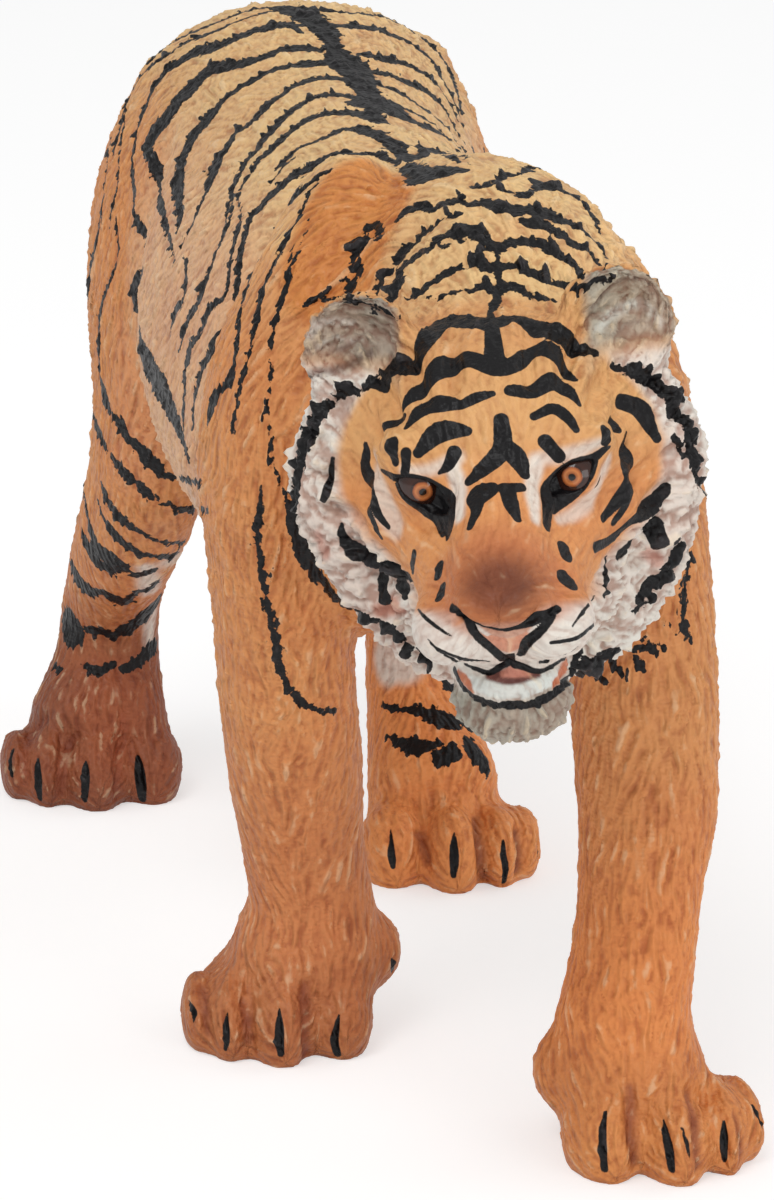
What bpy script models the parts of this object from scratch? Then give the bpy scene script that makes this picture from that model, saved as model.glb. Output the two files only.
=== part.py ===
"""Tiger figurine moulded in one piece: a tiger walking with its head lowered and turned a little to its right.

Drawn in millimetres with the head towards -Y, the tiger's left side at +X and the soles on Z = 0,
then placed in metres with the middle of its footprint box at the origin. The legs, trunk, neck and head
are lofts and ellipsoids that a voxel remesh fuses into one skin, which is then carved with soft strokes.
"""

import bmesh
import bpy
import numpy as np
from mathutils import Matrix, Vector

for old in list(bpy.data.objects):
    bpy.data.objects.remove(old)

MM = 0.001
MIDDLE = Vector((-0.4, -1.5, 0.0))
VOXEL = 0.55
TRIANGLES = 11600
BACK_HEIGHT = 41.0
SHOULDERS = -22.0
TRUNK_LENGTH = 50.0
HIPS = SHOULDERS + TRUNK_LENGTH
NECK_LENGTH = 27.5
TOE_LENGTH = 3.7
FORE_PAW_HALF = 5.75
HIND_PAW_HALF = 6.2
EYE_APART = 4.2
EYE_RADIUS = 1.7
EAR_APART = 7.3
UP = Vector((0, 0, 1))

masses = bmesh.new()


def spline(rows, steps):
    """Catmull-Rom curve through the rows, with a number of steps between one row and the next."""
    p = np.asarray(rows, float)
    p = np.vstack([2 * p[0] - p[1], p, 2 * p[-1] - p[-2]])
    t = np.linspace(0, 1, steps, endpoint=False)[None, :, None]
    a, b, c, d = [p[k : len(p) - 3 + k, None] for k in range(4)]
    q = 0.5 * (2 * b + (c - a) * t + (2 * a - 5 * b + 4 * c - d) * t**2 + (3 * b - a - 3 * c + d) * t**3)
    return np.vstack([q.reshape(-1, p.shape[1]), p[-2]])


def loft(rows, side=(1, 0, 0), ring=28, blunt=0.8, power=2.2):
    """Superellipse sections along a curve, with rounded ends.

    Each row is x, y, z, half width along side, half width across and, if given, how much narrower
    the half nearer the sky is.
    """
    r = spline(rows, 6)
    c, a, b = r[:, :3], np.maximum(r[:, 3], 0.05), np.maximum(r[:, 4], 0.05)
    egg = r[:, 5] if r.shape[1] > 5 else np.zeros(len(r))
    t = np.gradient(c, axis=0)
    t /= np.linalg.norm(t, axis=1)[:, None]
    k = np.linspace(np.pi / 2, 0, 6)[:-1]
    f = np.maximum(np.cos(k), 1e-3)
    back = blunt * min(a[0], b[0]) * np.sin(k)[:, None]
    front = blunt * min(a[-1], b[-1]) * np.sin(k[::-1])[:, None]
    c = np.vstack([c[0] - t[0] * back, c, c[-1] + t[-1] * front])
    a = np.concatenate([a[0] * f, a, a[-1] * f[::-1]])[:, None]
    b = np.concatenate([b[0] * f, b, b[-1] * f[::-1]])[:, None]
    egg = np.pad(egg, 5, mode="edge")[:, None]
    t = np.vstack([np.repeat(t[:1], 5, 0), t, np.repeat(t[-1:], 5, 0)])
    s = np.asarray(side, float) - t * (t @ np.asarray(side, float))[:, None]
    s /= np.linalg.norm(s, axis=1)[:, None]
    n = np.cross(t, s)
    turn = np.linspace(0, 2 * np.pi, ring, endpoint=False)
    cx = np.sign(np.cos(turn)) * np.abs(np.cos(turn)) ** (2 / power)
    sy = np.sign(np.sin(turn)) * np.abs(np.sin(turn)) ** (2 / power)
    across = a * cx * (1 - egg * sy[None] * n[:, 2:])
    grid = c[:, None] + s[:, None] * across[:, :, None] + n[:, None] * (b * sy)[:, :, None]
    rings = [[masses.verts.new(v) for v in row] for row in grid.tolist()]
    for low, high in zip(rings, rings[1:]):
        for j in range(ring):
            i = (j + 1) % ring
            masses.faces.new((low[j], low[i], high[i], high[j]))
    masses.faces.new(rings[0][::-1])
    masses.faces.new(rings[-1])


def placed(centre, side, axis, size):
    """Matrix of a unit sphere stretched to a size along side, across and axis."""
    t = Vector(axis).normalized()
    s = (Vector(side) - t * t.dot(Vector(side))).normalized()
    b = t.cross(s)
    turn = Matrix((s, b, t)).transposed().to_4x4()
    return Matrix.Translation(Vector(centre)) @ turn @ Matrix.Diagonal((*size, 1))


def ball(centre, size, axis=UP, side=(1, 0, 0), n=20):
    """Ellipsoid with half sizes along side, across and axis."""
    bmesh.ops.create_uvsphere(
        masses, u_segments=n, v_segments=n // 2, radius=1, matrix=placed(centre, side, axis, size)
    )


# Trunk and neck
loft(
    [
        (0.4, SHOULDERS - 14, BACK_HEIGHT + 0.5, 6.0, 7.6, 0.05),
        (0.4, SHOULDERS - 9, BACK_HEIGHT + 1.0, 8.2, 11.4, 0.05),
        (0.0, SHOULDERS - 2, BACK_HEIGHT + 1.0, 9.8, 13.2, 0.08),
        (-0.7, SHOULDERS + TRUNK_LENGTH * 0.16, BACK_HEIGHT, 10.9, 14.4, 0.12),
        (-1.0, SHOULDERS + TRUNK_LENGTH * 0.44, BACK_HEIGHT - 0.4, 11.55, 15.2, 0.15),
        (-0.7, SHOULDERS + TRUNK_LENGTH * 0.68, BACK_HEIGHT + 0.3, 11.9, 15.2, 0.13),
        (0.1, SHOULDERS + TRUNK_LENGTH * 0.88, BACK_HEIGHT + 2.2, 12.3, 14.5, 0.03),
        (0.6, HIPS + 2, BACK_HEIGHT + 4.0, 12.1, 13.0, -0.02),
        (0.9, HIPS + 9, BACK_HEIGHT + 5.5, 10.3, 9.7, -0.03),
        (0.5, HIPS + 13, BACK_HEIGHT + 6.3, 5.8, 6.0, 0.0),
    ],
    ring=40,
)
loft(
    [
        (1.0, SHOULDERS + 7, BACK_HEIGHT + 2.6, 8.5, 11.7, 0.07),
        (1.8, SHOULDERS, BACK_HEIGHT + 4.0, 9.35, 12.1, 0.04),
        (1.65, SHOULDERS - 8, BACK_HEIGHT + 4.2, 9.3, 11.2, 0.04),
        (0.5, SHOULDERS - 15, BACK_HEIGHT + 3.2, 8.8, 9.3, 0.05),
        (-0.8, SHOULDERS - 21, BACK_HEIGHT + 2.4, 8.2, 8.0, 0.0),
    ],
    ring=36,
)

# Shoulder blades and forelegs
ball((-6.8, SHOULDERS + 2, BACK_HEIGHT + 5.2), (4.6, 7.2, 11.3), axis=(0.22, 0.35, 0.9))
loft(
    [
        (-7.0, SHOULDERS + 1.5, BACK_HEIGHT + 9, 3.6, 5.4),
        (-8.8, SHOULDERS + 2, BACK_HEIGHT + 3, 4.4, 7.0),
        (-9.5, SHOULDERS + 2.5, BACK_HEIGHT - 3, 4.5, 7.0),
        (-9.1, SHOULDERS + 3.1, 32.5, 4.2, 6.2),
        (-8.6, SHOULDERS + 4.1, 27.5, 4.1, 5.4),
        (-8.0, SHOULDERS + 5.2, 23, 4.15, 4.9),
        (-7.1, SHOULDERS + 7, 17.5, 4.1, 4.4),
        (-6.5, SHOULDERS + 8.2, 13.8, 3.85, 4.1),
        (-6.0, SHOULDERS + 8.8, 11, 3.75, 4.0),
        (-5.5, SHOULDERS + 9.2, 8.4, 3.9, 4.3),
        (-5.8, SHOULDERS + 9.1, 5, 4.8, 5.2),
    ]
)
ball((7.1, SHOULDERS - 2, BACK_HEIGHT + 4.4), (4.7, 7.2, 10.9), axis=(-0.16, 0.25, 0.95))
loft(
    [
        (7.6, SHOULDERS - 2.5, BACK_HEIGHT + 9, 3.6, 5.4),
        (9.0, SHOULDERS - 3.4, BACK_HEIGHT + 3, 4.4, 7.0),
        (9.9, SHOULDERS - 4.4, BACK_HEIGHT - 3, 4.6, 7.0),
        (10.4, SHOULDERS - 5.7, 32.5, 4.5, 6.2),
        (10.9, SHOULDERS - 7, 27.5, 4.3, 5.4),
        (11.0, SHOULDERS - 8.4, 22.5, 4.2, 4.8),
        (10.9, SHOULDERS - 9.5, 19.2, 4.0, 4.5),
        (10.5, SHOULDERS - 10.2, 16.5, 3.7, 4.2),
        (10.25, SHOULDERS - 10.8, 13.8, 3.55, 4.0),
        (9.8, SHOULDERS - 11.4, 10.5, 3.65, 4.2),
        (9.3, SHOULDERS - 12, 8, 3.9, 4.7),
        (9.5, SHOULDERS - 12.3, 5, 4.6, 5.3),
    ]
)

# Haunches and hind legs
loft(
    [
        (-6.2, HIPS + 3, BACK_HEIGHT + 9.7, 4.1, 6.5),
        (-8.2, HIPS + 1.5, BACK_HEIGHT + 4, 4.6, 9.6),
        (-8.9, HIPS, BACK_HEIGHT - 2.5, 4.7, 10.3),
        (-9.1, HIPS - 1, 32, 4.3, 8.6),
        (-9.6, HIPS, 26, 3.85, 6.2),
        (-10.15, HIPS + 4, 20.5, 3.55, 4.7),
        (-10.35, HIPS + 8.6, 16.2, 3.4, 3.9),
        (-10.4, HIPS + 11.4, 12.2, 3.4, 3.6),
        (-10.6, HIPS + 11.6, 8.5, 3.8, 4.0),
        (-11.2, HIPS + 10.6, 5, 4.9, 5.0),
    ]
)
loft(
    [
        (6.9, HIPS + 2.5, BACK_HEIGHT + 10.5, 4.3, 6.5),
        (8.4, HIPS, BACK_HEIGHT + 4, 4.7, 9.6),
        (9.2, HIPS - 2.5, BACK_HEIGHT - 2.5, 4.7, 10.4),
        (9.5, HIPS - 5.5, 32, 4.5, 8.8),
        (9.5, HIPS - 7, 26, 4.2, 6.5),
        (9.0, HIPS - 5, 20.5, 3.8, 4.9),
        (8.55, HIPS - 2.6, 16, 3.3, 3.9),
        (8.4, HIPS - 2.7, 12, 3.1, 3.6),
        (8.6, HIPS - 4.3, 8.5, 3.45, 4.0),
        (9.1, HIPS - 7.5, 4.8, 4.5, 5.0),
    ]
)

# Tail, hanging clear of the hind legs
loft(
    [
        (0.3, HIPS + 10, BACK_HEIGHT + 8, 3.4, 3.2),
        (0.8, HIPS + 15.5, BACK_HEIGHT + 7.5, 2.6, 2.5),
        (1.6, HIPS + 20, BACK_HEIGHT + 2.5, 2.1, 2.1),
        (2.6, HIPS + 22, 36, 1.9, 1.9),
        (3.6, HIPS + 22.5, 28, 1.85, 1.85),
        (4.2, HIPS + 22.5, 20, 1.8, 1.8),
        (4.4, HIPS + 23.5, 13.5, 1.7, 1.7),
        (4.3, HIPS + 26.5, 9.5, 1.6, 1.6),
    ],
    ring=16,
)


# Each toe: from and to as shares of the paw's half width, inner side first, then how far it is set
# forward as a share of its length, and its half height.
TOES = [(-1.0, -0.33, 0.45, 3.3), (-0.33, 0.3, 0.8, 3.4), (0.3, 0.75, 0.55, 3.1), (0.7, 1.02, 0.15, 2.6)]


def paw(x, y, half, yaw, outer):
    """Pad with four toes side by side; outer is 1 on a left paw and -1 on a right one. Returns its clefts."""
    turn = Matrix.Rotation(np.radians(yaw), 4, "Z")
    side = turn @ Vector((outer, 0, 0))
    ahead = turn @ Vector((0, -1, 0))
    centre = Vector((x, y, 0))
    ball(centre + UP * 2.2 - ahead * 1.8 - side * half * 0.06, (half * 0.84, 4.8, 3.7), side=side)
    clefts = []
    for low, high, reach, tall in TOES:
        toe = centre + side * (half * (low + high) / 2) + ahead * TOE_LENGTH * reach + UP * 1.8
        ball(toe, (half * (high - low) * 0.55, TOE_LENGTH, tall), side=side)
        if high < 1:
            root = centre + side * (half * high) + ahead * TOE_LENGTH * (reach - 0.5)
            clefts.append([root + ahead * 5.2 + UP * 0.3, root + ahead * 4.4 + UP * 3.4, root + ahead * 1.0 + UP * 5.6])
    return clefts


paws = paw(-7.75, SHOULDERS + 8.6, FORE_PAW_HALF, -6, -1)
paws += paw(11.05, SHOULDERS - 13.4, FORE_PAW_HALF + 0.15, 5, 1)
paws += paw(-12.0, HIPS + 9.6, HIND_PAW_HALF, -4, -1)
paws += paw(9.5, HIPS - 10.8, HIND_PAW_HALF - 0.15, -4, 1)
ball((-1.8, SHOULDERS + 9.2, 5.2), (2.1, 2.6, 2.5))
ball((5.8, SHOULDERS - 11.6, 4.6), (1.8, 2.6, 2.5))

# Head, drawn from the point between the eyes along the tiger's left, ahead and up
EYES = Vector((-2.8, SHOULDERS - NECK_LENGTH, BACK_HEIGHT + 3.7))
HEAD = (
    Matrix.Rotation(np.radians(-12.7), 3, "Z")
    @ Matrix.Rotation(np.radians(11.0), 3, "X")
    @ Matrix.Rotation(np.radians(-5.8), 3, "Y")
)


def at(left, ahead, up):
    return EYES + HEAD @ Vector((left, -ahead, up))


def way(left, ahead, up):
    return HEAD @ Vector((left, -ahead, up))


def head_loft(rows, **settings):
    loft([(*at(*row[:3]), *row[3:]) for row in rows], **settings)


LEFT, AHEAD, CROWN = way(1, 0, 0), way(0, 1, 0), way(0, 0, 1)
ball(at(0, -8.4, -0.9), (8.3, 9.4, 6.9), axis=CROWN, side=LEFT, n=28)
head_loft(
    [
        (0, -11, 0.8, 6.6, 4.8),
        (0, -8, 0.9, 6.8, 5.2),
        (0, -5, 0.5, 6.7, 4.8),
        (0, -2.6, -0.1, 6.0, 3.7),
        (0, -0.9, -0.8, 4.6, 2.9),
        (0, 0.4, -1.2, 3.2, 2.6),
    ],
    side=LEFT,
)
head_loft(
    [
        (0, -3, -0.7, 3.6, 3.0),
        (0, 0, -1.1, 3.0, 2.7),
        (0, 3, -1.9, 2.8, 2.5),
        (0, 6, -2.7, 2.8, 2.1),
        (0, 8.0, -3.3, 2.8, 1.7),
    ],
    side=LEFT,
    ring=24,
    blunt=0.6,
    power=2.0,
)
head_loft(
    [
        (0, -5, -3.6, 7.0, 4.6),
        (0, -1.5, -3.9, 6.0, 3.9),
        (0, 1.5, -4.2, 4.9, 3.4),
        (0, 4.5, -4.6, 4.4, 3.0),
        (0, 6.8, -4.9, 3.9, 2.2),
    ],
    side=LEFT,
)
ball(at(0, 8.5, -3.0), (2.7, 1.5, 1.5), axis=CROWN, side=LEFT)
ball(at(0, 2.6, -8.5), (3.5, 5.4, 2.0), axis=CROWN, side=LEFT)
ball(at(0.1, 4.6, -10.5), (3.3, 2.7, 2.4), axis=CROWN, side=LEFT)
ball(at(0, -4.6, -7.4), (6.8, 6.2, 4.4), axis=CROWN, side=LEFT)

strokes = []
for cleft in paws:
    strokes.append((cleft, 0.8, -0.45))

for q in (-1, 1):
    ball(at(q * 2.5, 6.0, -5.0), (2.5, 3.3, 2.0), axis=way(q * 0.25, 0, 1), side=LEFT)
    ball(at(q * 5.6, -5.0, -3.4), (2.7, 3.6, 3.8), axis=CROWN, side=LEFT)
    ball(at(q * 4.1, -2.2, 1.5), (2.5, 2.0, 1.4), axis=way(0, -0.4, 1), side=LEFT)
    ball(at(q * EYE_APART, -1.3, -0.1), (EYE_RADIUS,) * 3, axis=CROWN, side=LEFT)
    head_loft(
        [
            (q * 6.5 - 0.2, -9.6, 3.2, 1.6, 2.2),
            (q * 8.0 - 0.25, -8.8, 0.7, 1.9, 2.4),
            (q * 9.0 - 0.25, -7.8, -2.2, 2.3, 2.7),
            (q * 8.3 - 0.2, -6.8, -5.4, 2.3, 2.7),
            (q * 6.4, -5.4, -8.6, 2.1, 2.7),
            (q * 4.0, -4.4, -10.9, 1.9, 2.6),
            (q * 1.8, -3.8, -11.6, 1.8, 2.4),
        ],
        side=AHEAD,
        ring=20,
    )

# Ears, a cup spun from its section and stretched upwards
EAR_SECTION = [(0, -1.2), (0.35, -1.1), (0.6, -0.75), (0.76, -0.1), (0.85, 0.35), (0.95, 0.25)]
EAR_SECTION += [(1.0, -0.3), (0.97, -1.0), (0.82, -1.8), (0.5, -2.4), (0, -2.7)]


def cup(centre, front, axis, width, height):
    """Spins the ear's section about its own middle line and faces its hollow towards front."""
    ear = bmesh.new()
    line = [ear.verts.new((r, 0, d)) for r, d in EAR_SECTION]
    edges = [ear.edges.new(pair) for pair in zip(line, line[1:])]
    bmesh.ops.spin(ear, geom=line + edges, angle=2 * np.pi, steps=24, axis=(0, 0, 1), cent=(0, 0, 0))
    bmesh.ops.remove_doubles(ear, verts=ear.verts, dist=1e-4)
    bmesh.ops.recalc_face_normals(ear, faces=ear.faces)
    seat = placed(centre, axis, front, (height, width, 1))
    bmesh.ops.transform(ear, matrix=seat, verts=ear.verts)
    spun = bpy.data.meshes.new("ear")
    ear.to_mesh(spun)
    masses.from_mesh(spun)


for q in (-1, 1):
    cup(at(q * EAR_APART - 0.3, -8.7, 5.05 + q * 0.35), way(q * 0.25, 1, 0.4), way(q * 0.6, -0.4, 1), 3.45, 3.2)

# Strokes, each a line of points, a reach and a height above or below the skin. Those of the body have
# points of x, share of the way from shoulders to hips, and height above the middle of the trunk.
body_strokes = [
    ([(-5, 0.21, 16), (-9.6, 0.22, 10), (-11.8, 0.21, 3), (-12, 0.18, -4), (-11.5, 0.17, -10)], 1.6, -0.75),
    ([(7, 0.15, 16), (10, 0.15, 10), (12, 0.14, 3), (12.6, 0.09, -4), (12, 0.04, -10)], 1.6, -0.7),
    ([(-4, -0.16, 14), (-8.4, -0.16, 7), (-10, -0.12, -2), (-9, -0.06, -9)], 1.5, -0.6),
    ([(7, -0.18, 13), (10, -0.2, 6), (11, -0.2, -2)], 1.5, -0.5),
    ([(-10.6, 0.78, 8), (-12.2, 0.78, 2), (-12.6, 0.78, -4), (-11.6, 0.74, -11)], 1.8, -0.7),
    ([(10.6, 0.76, 8), (12.2, 0.76, 2), (12.6, 0.74, -4), (11.6, 0.7, -11)], 1.8, -0.7),
    ([(0, 0.08, 16), (0, 0.44, 15), (0.3, 0.74, 16), (0.5, 1.04, 17)], 2.2, 0.35),
]
for line, reach, height in body_strokes:
    points = [Vector((x, SHOULDERS + TRUNK_LENGTH * share, BACK_HEIGHT + up)) for x, share, up in line]
    strokes.append((points, reach, height))
for q in (-1, 1):
    face = [
        ([(1.7, 1.6, -1.6), (2.5, 1.0, 0.5), (4.2, 0.6, 1.4), (6.0, -0.8, 1.5)], 0.65, -0.6),
        ([(1.9, 1.8, -1.9), (3.6, 0.9, -1.8), (5.2, 0.0, -1.3), (6.1, -0.9, -0.2)], 0.65, -0.5),
        ([(0.1, 9.6, -5.8), (1.4, 9.2, -6.6), (2.8, 7.8, -7.2), (3.7, 5.2, -7.6)], 0.6, -0.8),
        ([(0.4, 10.0, -4.2), (1.4, 9.8, -3.9), (2.5, 9.1, -3.0)], 0.5, -0.4),
        ([(4.6, 3.2, -7.4), (5.9, 0.4, -6.6), (7.0, -2.6, -4.0), (7.4, -4.4, 0.0), (6.8, -5.8, 3.4)], 0.8, -0.4),
        ([(0.8, 0.6, 2.8), (2.2, -1.2, 4.6), (4.2, -3.8, 5.4)], 1.0, -0.2),
    ]
    strokes += [([at(q * a, b, c) for a, b, c in line], reach, height) for line, reach, height in face]
    for k in range(8):
        turn = np.radians(205 + 19 * k)
        inner = at(q * -7.4 * np.sin(turn), -3.5, -2.6 + 7.0 * np.cos(turn))
        outer = at(q * -11.0 * np.sin(turn), -7.5, -3.4 + 8.6 * np.cos(turn))
        strokes.append(([inner, inner.lerp(outer, 0.5), outer], 0.75, -0.45))

# Fused skin
rough_mesh = bpy.data.meshes.new("masses")
masses.to_mesh(rough_mesh)
rough = bpy.data.objects.new("masses", rough_mesh)
rough.scale = (MM, MM, MM)
bpy.context.scene.collection.objects.link(rough)
fuse = rough.modifiers.new("fuse", "REMESH")
fuse.mode = "VOXEL"
fuse.voxel_size = VOXEL
relax = rough.modifiers.new("relax", "SMOOTH")
relax.factor = 0.5
relax.iterations = 6
graph = bpy.context.evaluated_depsgraph_get()
skin = bpy.data.meshes.new_from_object(rough.evaluated_get(graph))
bpy.data.objects.remove(rough)

count = len(skin.vertices)
points = np.empty(count * 3)
skin.vertices.foreach_get("co", points)
points = points.reshape(-1, 3)
facing = np.empty(count * 3)
skin.vertex_normals.foreach_get("vector", facing)
facing = facing.reshape(-1, 3)


def distance_to(line, cloud):
    """Distance of every point of the cloud from a curve drawn through the line."""
    knots = spline([tuple(p) for p in line], 5)
    best = np.full(len(cloud), np.inf)
    for a, b in zip(knots, knots[1:]):
        along = np.clip((cloud - a) @ (b - a) / ((b - a) @ (b - a)), 0, 1)
        best = np.minimum(best, np.linalg.norm(cloud - a - along[:, None] * (b - a), axis=1))
    return best


lift = np.zeros(count)
for line, reach, height in strokes:
    lift += height * np.exp(-((distance_to(line, points) / reach) ** 2))
points += facing * lift[:, None]
points = (points - np.array(MIDDLE)) * MM
skin.vertices.foreach_set("co", points.ravel())
skin.update()

tiger = bpy.data.objects.new("tiger", skin)
figurine = bpy.data.collections.new("tiger_figurine")
bpy.context.scene.collection.children.link(figurine)
figurine.objects.link(tiger)
cutters = bpy.data.collections.new("cutters")
cutters.hide_render = True
bpy.context.scene.collection.children.link(cutters)

thin = tiger.modifiers.new("thin_out", "DECIMATE")
thin.ratio = TRIANGLES / sum(len(face.vertices) - 2 for face in skin.polygons)

# Table top, which makes the four soles flat
top = bmesh.new()
bmesh.ops.create_cube(top, size=1, matrix=Matrix.LocRotScale(UP * -0.01, None, Vector((0.2, 0.2, 0.02))))
slab = bpy.data.meshes.new("table_top")
top.to_mesh(slab)
table_top = bpy.data.objects.new("table_top", slab)
table_top.hide_render = True
table_top.display_type = "WIRE"
cutters.objects.link(table_top)
sole = tiger.modifiers.new("flat_soles", "BOOLEAN")
sole.object = table_top
sole.operation = "DIFFERENCE"
sole.solver = "EXACT"

paint = bpy.data.materials.new("painted_plastic")
paint.use_nodes = True
surface = paint.node_tree.nodes["Principled BSDF"]
surface.inputs["Base Color"].default_value = (0.68, 0.30, 0.10, 1)
surface.inputs["Roughness"].default_value = 0.45
skin.materials.append(paint)
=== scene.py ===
import bpy
import numpy as np
from mathutils import Matrix, Vector


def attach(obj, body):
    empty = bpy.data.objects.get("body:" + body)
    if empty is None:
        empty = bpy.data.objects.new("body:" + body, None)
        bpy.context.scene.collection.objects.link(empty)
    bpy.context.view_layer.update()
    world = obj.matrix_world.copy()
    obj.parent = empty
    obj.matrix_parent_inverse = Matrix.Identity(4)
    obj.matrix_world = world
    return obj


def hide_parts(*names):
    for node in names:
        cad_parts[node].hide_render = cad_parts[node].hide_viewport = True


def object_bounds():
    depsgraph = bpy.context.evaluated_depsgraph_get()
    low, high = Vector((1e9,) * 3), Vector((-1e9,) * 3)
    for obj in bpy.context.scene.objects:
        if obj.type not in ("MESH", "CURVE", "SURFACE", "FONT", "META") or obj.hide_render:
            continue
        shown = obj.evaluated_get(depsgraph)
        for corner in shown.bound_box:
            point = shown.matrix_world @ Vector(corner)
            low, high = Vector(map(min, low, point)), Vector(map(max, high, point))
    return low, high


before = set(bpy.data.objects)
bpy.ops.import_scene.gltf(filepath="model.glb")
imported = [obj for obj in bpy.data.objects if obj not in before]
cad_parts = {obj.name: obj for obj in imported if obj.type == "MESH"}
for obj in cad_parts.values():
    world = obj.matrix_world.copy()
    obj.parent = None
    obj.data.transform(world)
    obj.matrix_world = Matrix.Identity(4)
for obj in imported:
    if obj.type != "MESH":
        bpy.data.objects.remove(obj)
cad_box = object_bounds()

# The camera stands where the photograph was taken from: low, in front of the figurine and a little
# to its right. Places below are in millimetres from under the middle of the trunk, head towards -Y.
MM = 0.001
MIDDLE = np.array((-0.4, -1.5, 0.0))
FRAME_WIDTH, FRAME_HEIGHT, FOCAL = 774, 1200, 5519.0
LENS_POINT = np.array((-66.41, -330.87, 120.86))
YAW, PITCH, ROLL = 0.2022, 0.2792, 0.0246
SENSOR = 36

ahead_way = np.array((np.sin(YAW) * np.cos(PITCH), np.cos(YAW) * np.cos(PITCH), -np.sin(PITCH)))
level = np.array((np.cos(YAW), -np.sin(YAW), 0.0))
upright = np.cross(level, ahead_way)
right_way = level * np.cos(ROLL) + upright * np.sin(ROLL)
up_way = upright * np.cos(ROLL) - level * np.sin(ROLL)


def stood(name, data):
    """New object of the scene that shows the data, be it a mesh, a lamp or a camera."""
    thing = bpy.data.objects.new(name, data)
    bpy.context.scene.collection.objects.link(thing)
    return thing


camera = stood("camera", bpy.data.cameras.new("camera"))
camera.data.sensor_fit = "VERTICAL"
camera.data.sensor_height = SENSOR
camera.data.lens = SENSOR * FOCAL / FRAME_HEIGHT
camera.data.clip_start = 0.01
turn = Matrix((right_way, up_way, -ahead_way)).transposed()
camera.matrix_world = Matrix.Translation((LENS_POINT - MIDDLE) * MM) @ turn.to_4x4()
bpy.context.scene.camera = camera

# Trunk and neck: the core of the moulded body. Every mass is a closed shell of rings; all of them are
# gathered here and fused into one skin further down, as the one casting is.
shell_points, shell_faces, strokes = [], [], []


def spline(rows, steps):
    """Catmull-Rom curve through the rows: each span is the cubic that leaves and meets its rows along
    the chord between their neighbours."""
    p = np.asarray(rows, float)
    p = np.vstack([2 * p[0] - p[1], p, 2 * p[-1] - p[-2]])
    t = np.linspace(0, 1, steps, endpoint=False)[None, :, None]
    a, b, c, d = [p[k : len(p) - 3 + k, None] for k in range(4)]
    q = 0.5 * (2 * b + (c - a) * t + (2 * a - 5 * b + 4 * c - d) * t**2 + (3 * b - a - 3 * c + d) * t**3)
    return np.vstack([q.reshape(-1, p.shape[1]), p[-2]])


def closed(grid, ends, first=0):
    """Points and faces of rings of points, closed at both ends by a fan to its end point."""
    rows, ring = grid.shape[:2]
    i = np.arange(rows - 1)[:, None] * ring
    j = np.arange(ring)[None]
    k = (j + 1) % ring
    quads = np.stack([i + j, i + k, i + ring + k, i + ring + j], -1).reshape(-1, 4) + first
    j, k, tip = j[0] + first, k[0] + first, first + rows * ring
    low = np.stack([np.full(ring, tip), k, j], 1)
    high = np.stack([np.full(ring, tip + 1), j + (rows - 1) * ring, k + (rows - 1) * ring], 1)
    return np.vstack([grid.reshape(-1, 3), ends]), quads.tolist() + low.tolist() + high.tolist()


def shell(grid, ends):
    """Adds a closed shell to the masses."""
    points, faces = closed(grid, ends, sum(len(p) for p in shell_points))
    shell_points.append(points)
    shell_faces.extend(faces)


def carve(line, reach, height):
    """Notes a stroke that is cut, or raised, along a curve through the line once the skin is fused."""
    strokes.append((spline([tuple(p) for p in line], 5), reach, height))


def loft(rows, side=(1, 0, 0), ring=80, blunt=0.8, power=2.2):
    """Superellipse sections |x/a|^power + |y/b|^power = 1 carried along a curve, with rounded ends.

    Each row is x, y, z, half width along side, half width across and, if given, how much narrower the
    half nearer the sky is."""
    r = spline(rows, 12)
    c, a, b = r[:, :3], np.maximum(r[:, 3], 0.05), np.maximum(r[:, 4], 0.05)
    egg = r[:, 5] if r.shape[1] > 5 else np.zeros(len(r))
    t = np.gradient(c, axis=0)
    t /= np.linalg.norm(t, axis=1)[:, None]
    k = np.linspace(np.pi / 2, 0, 14)[:-1]
    f = np.maximum(np.cos(k), 1e-3)
    back = blunt * min(a[0], b[0]) * np.sin(k)[:, None]
    front = blunt * min(a[-1], b[-1]) * np.sin(k[::-1])[:, None]
    c = np.vstack([c[0] - t[0] * back, c, c[-1] + t[-1] * front])
    a = np.concatenate([a[0] * f, a, a[-1] * f[::-1]])[:, None]
    b = np.concatenate([b[0] * f, b, b[-1] * f[::-1]])[:, None]
    egg = np.pad(egg, 13, mode="edge")[:, None]
    t = np.vstack([np.repeat(t[:1], 13, 0), t, np.repeat(t[-1:], 13, 0)])
    s = np.asarray(side, float) - t * (t @ np.asarray(side, float))[:, None]
    s /= np.linalg.norm(s, axis=1)[:, None]
    n = np.cross(t, s)
    turn = np.linspace(0, 2 * np.pi, ring, endpoint=False)
    cx = np.sign(np.cos(turn)) * np.abs(np.cos(turn)) ** (2 / power)
    sy = np.sign(np.sin(turn)) * np.abs(np.sin(turn)) ** (2 / power)
    across = a * cx * (1 - egg * sy[None] * n[:, 2:])
    shell(c[:, None] + s[:, None] * across[:, :, None] + n[:, None] * (b * sy)[:, :, None], c[[0, -1]])


def rounded(centre, size, axis=(0, 0, 1), side=(1, 0, 0), ring=56):
    """Ellipsoid: the sine and cosine of two angles, times half sizes along side, across and axis."""
    t = np.asarray(axis, float) / np.linalg.norm(axis)
    s = np.asarray(side, float) - t * (t @ np.asarray(side, float))
    s /= np.linalg.norm(s)
    b = np.cross(t, s)
    tilt = np.linspace(np.pi, 0, ring // 2 + 1)[1:-1, None, None]
    turn = np.linspace(0, 2 * np.pi, ring, endpoint=False)[None, :, None]
    flat = s * size[0] * np.cos(turn) + b * size[1] * np.sin(turn)
    centre, top = np.asarray(centre, float), t * size[2]
    return centre + flat * np.sin(tilt) + top * np.cos(tilt), [centre - top, centre + top]


def ball(centre, size, **settings):
    """Adds an ellipsoid to the masses."""
    shell(*rounded(centre, size, **settings))


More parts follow.
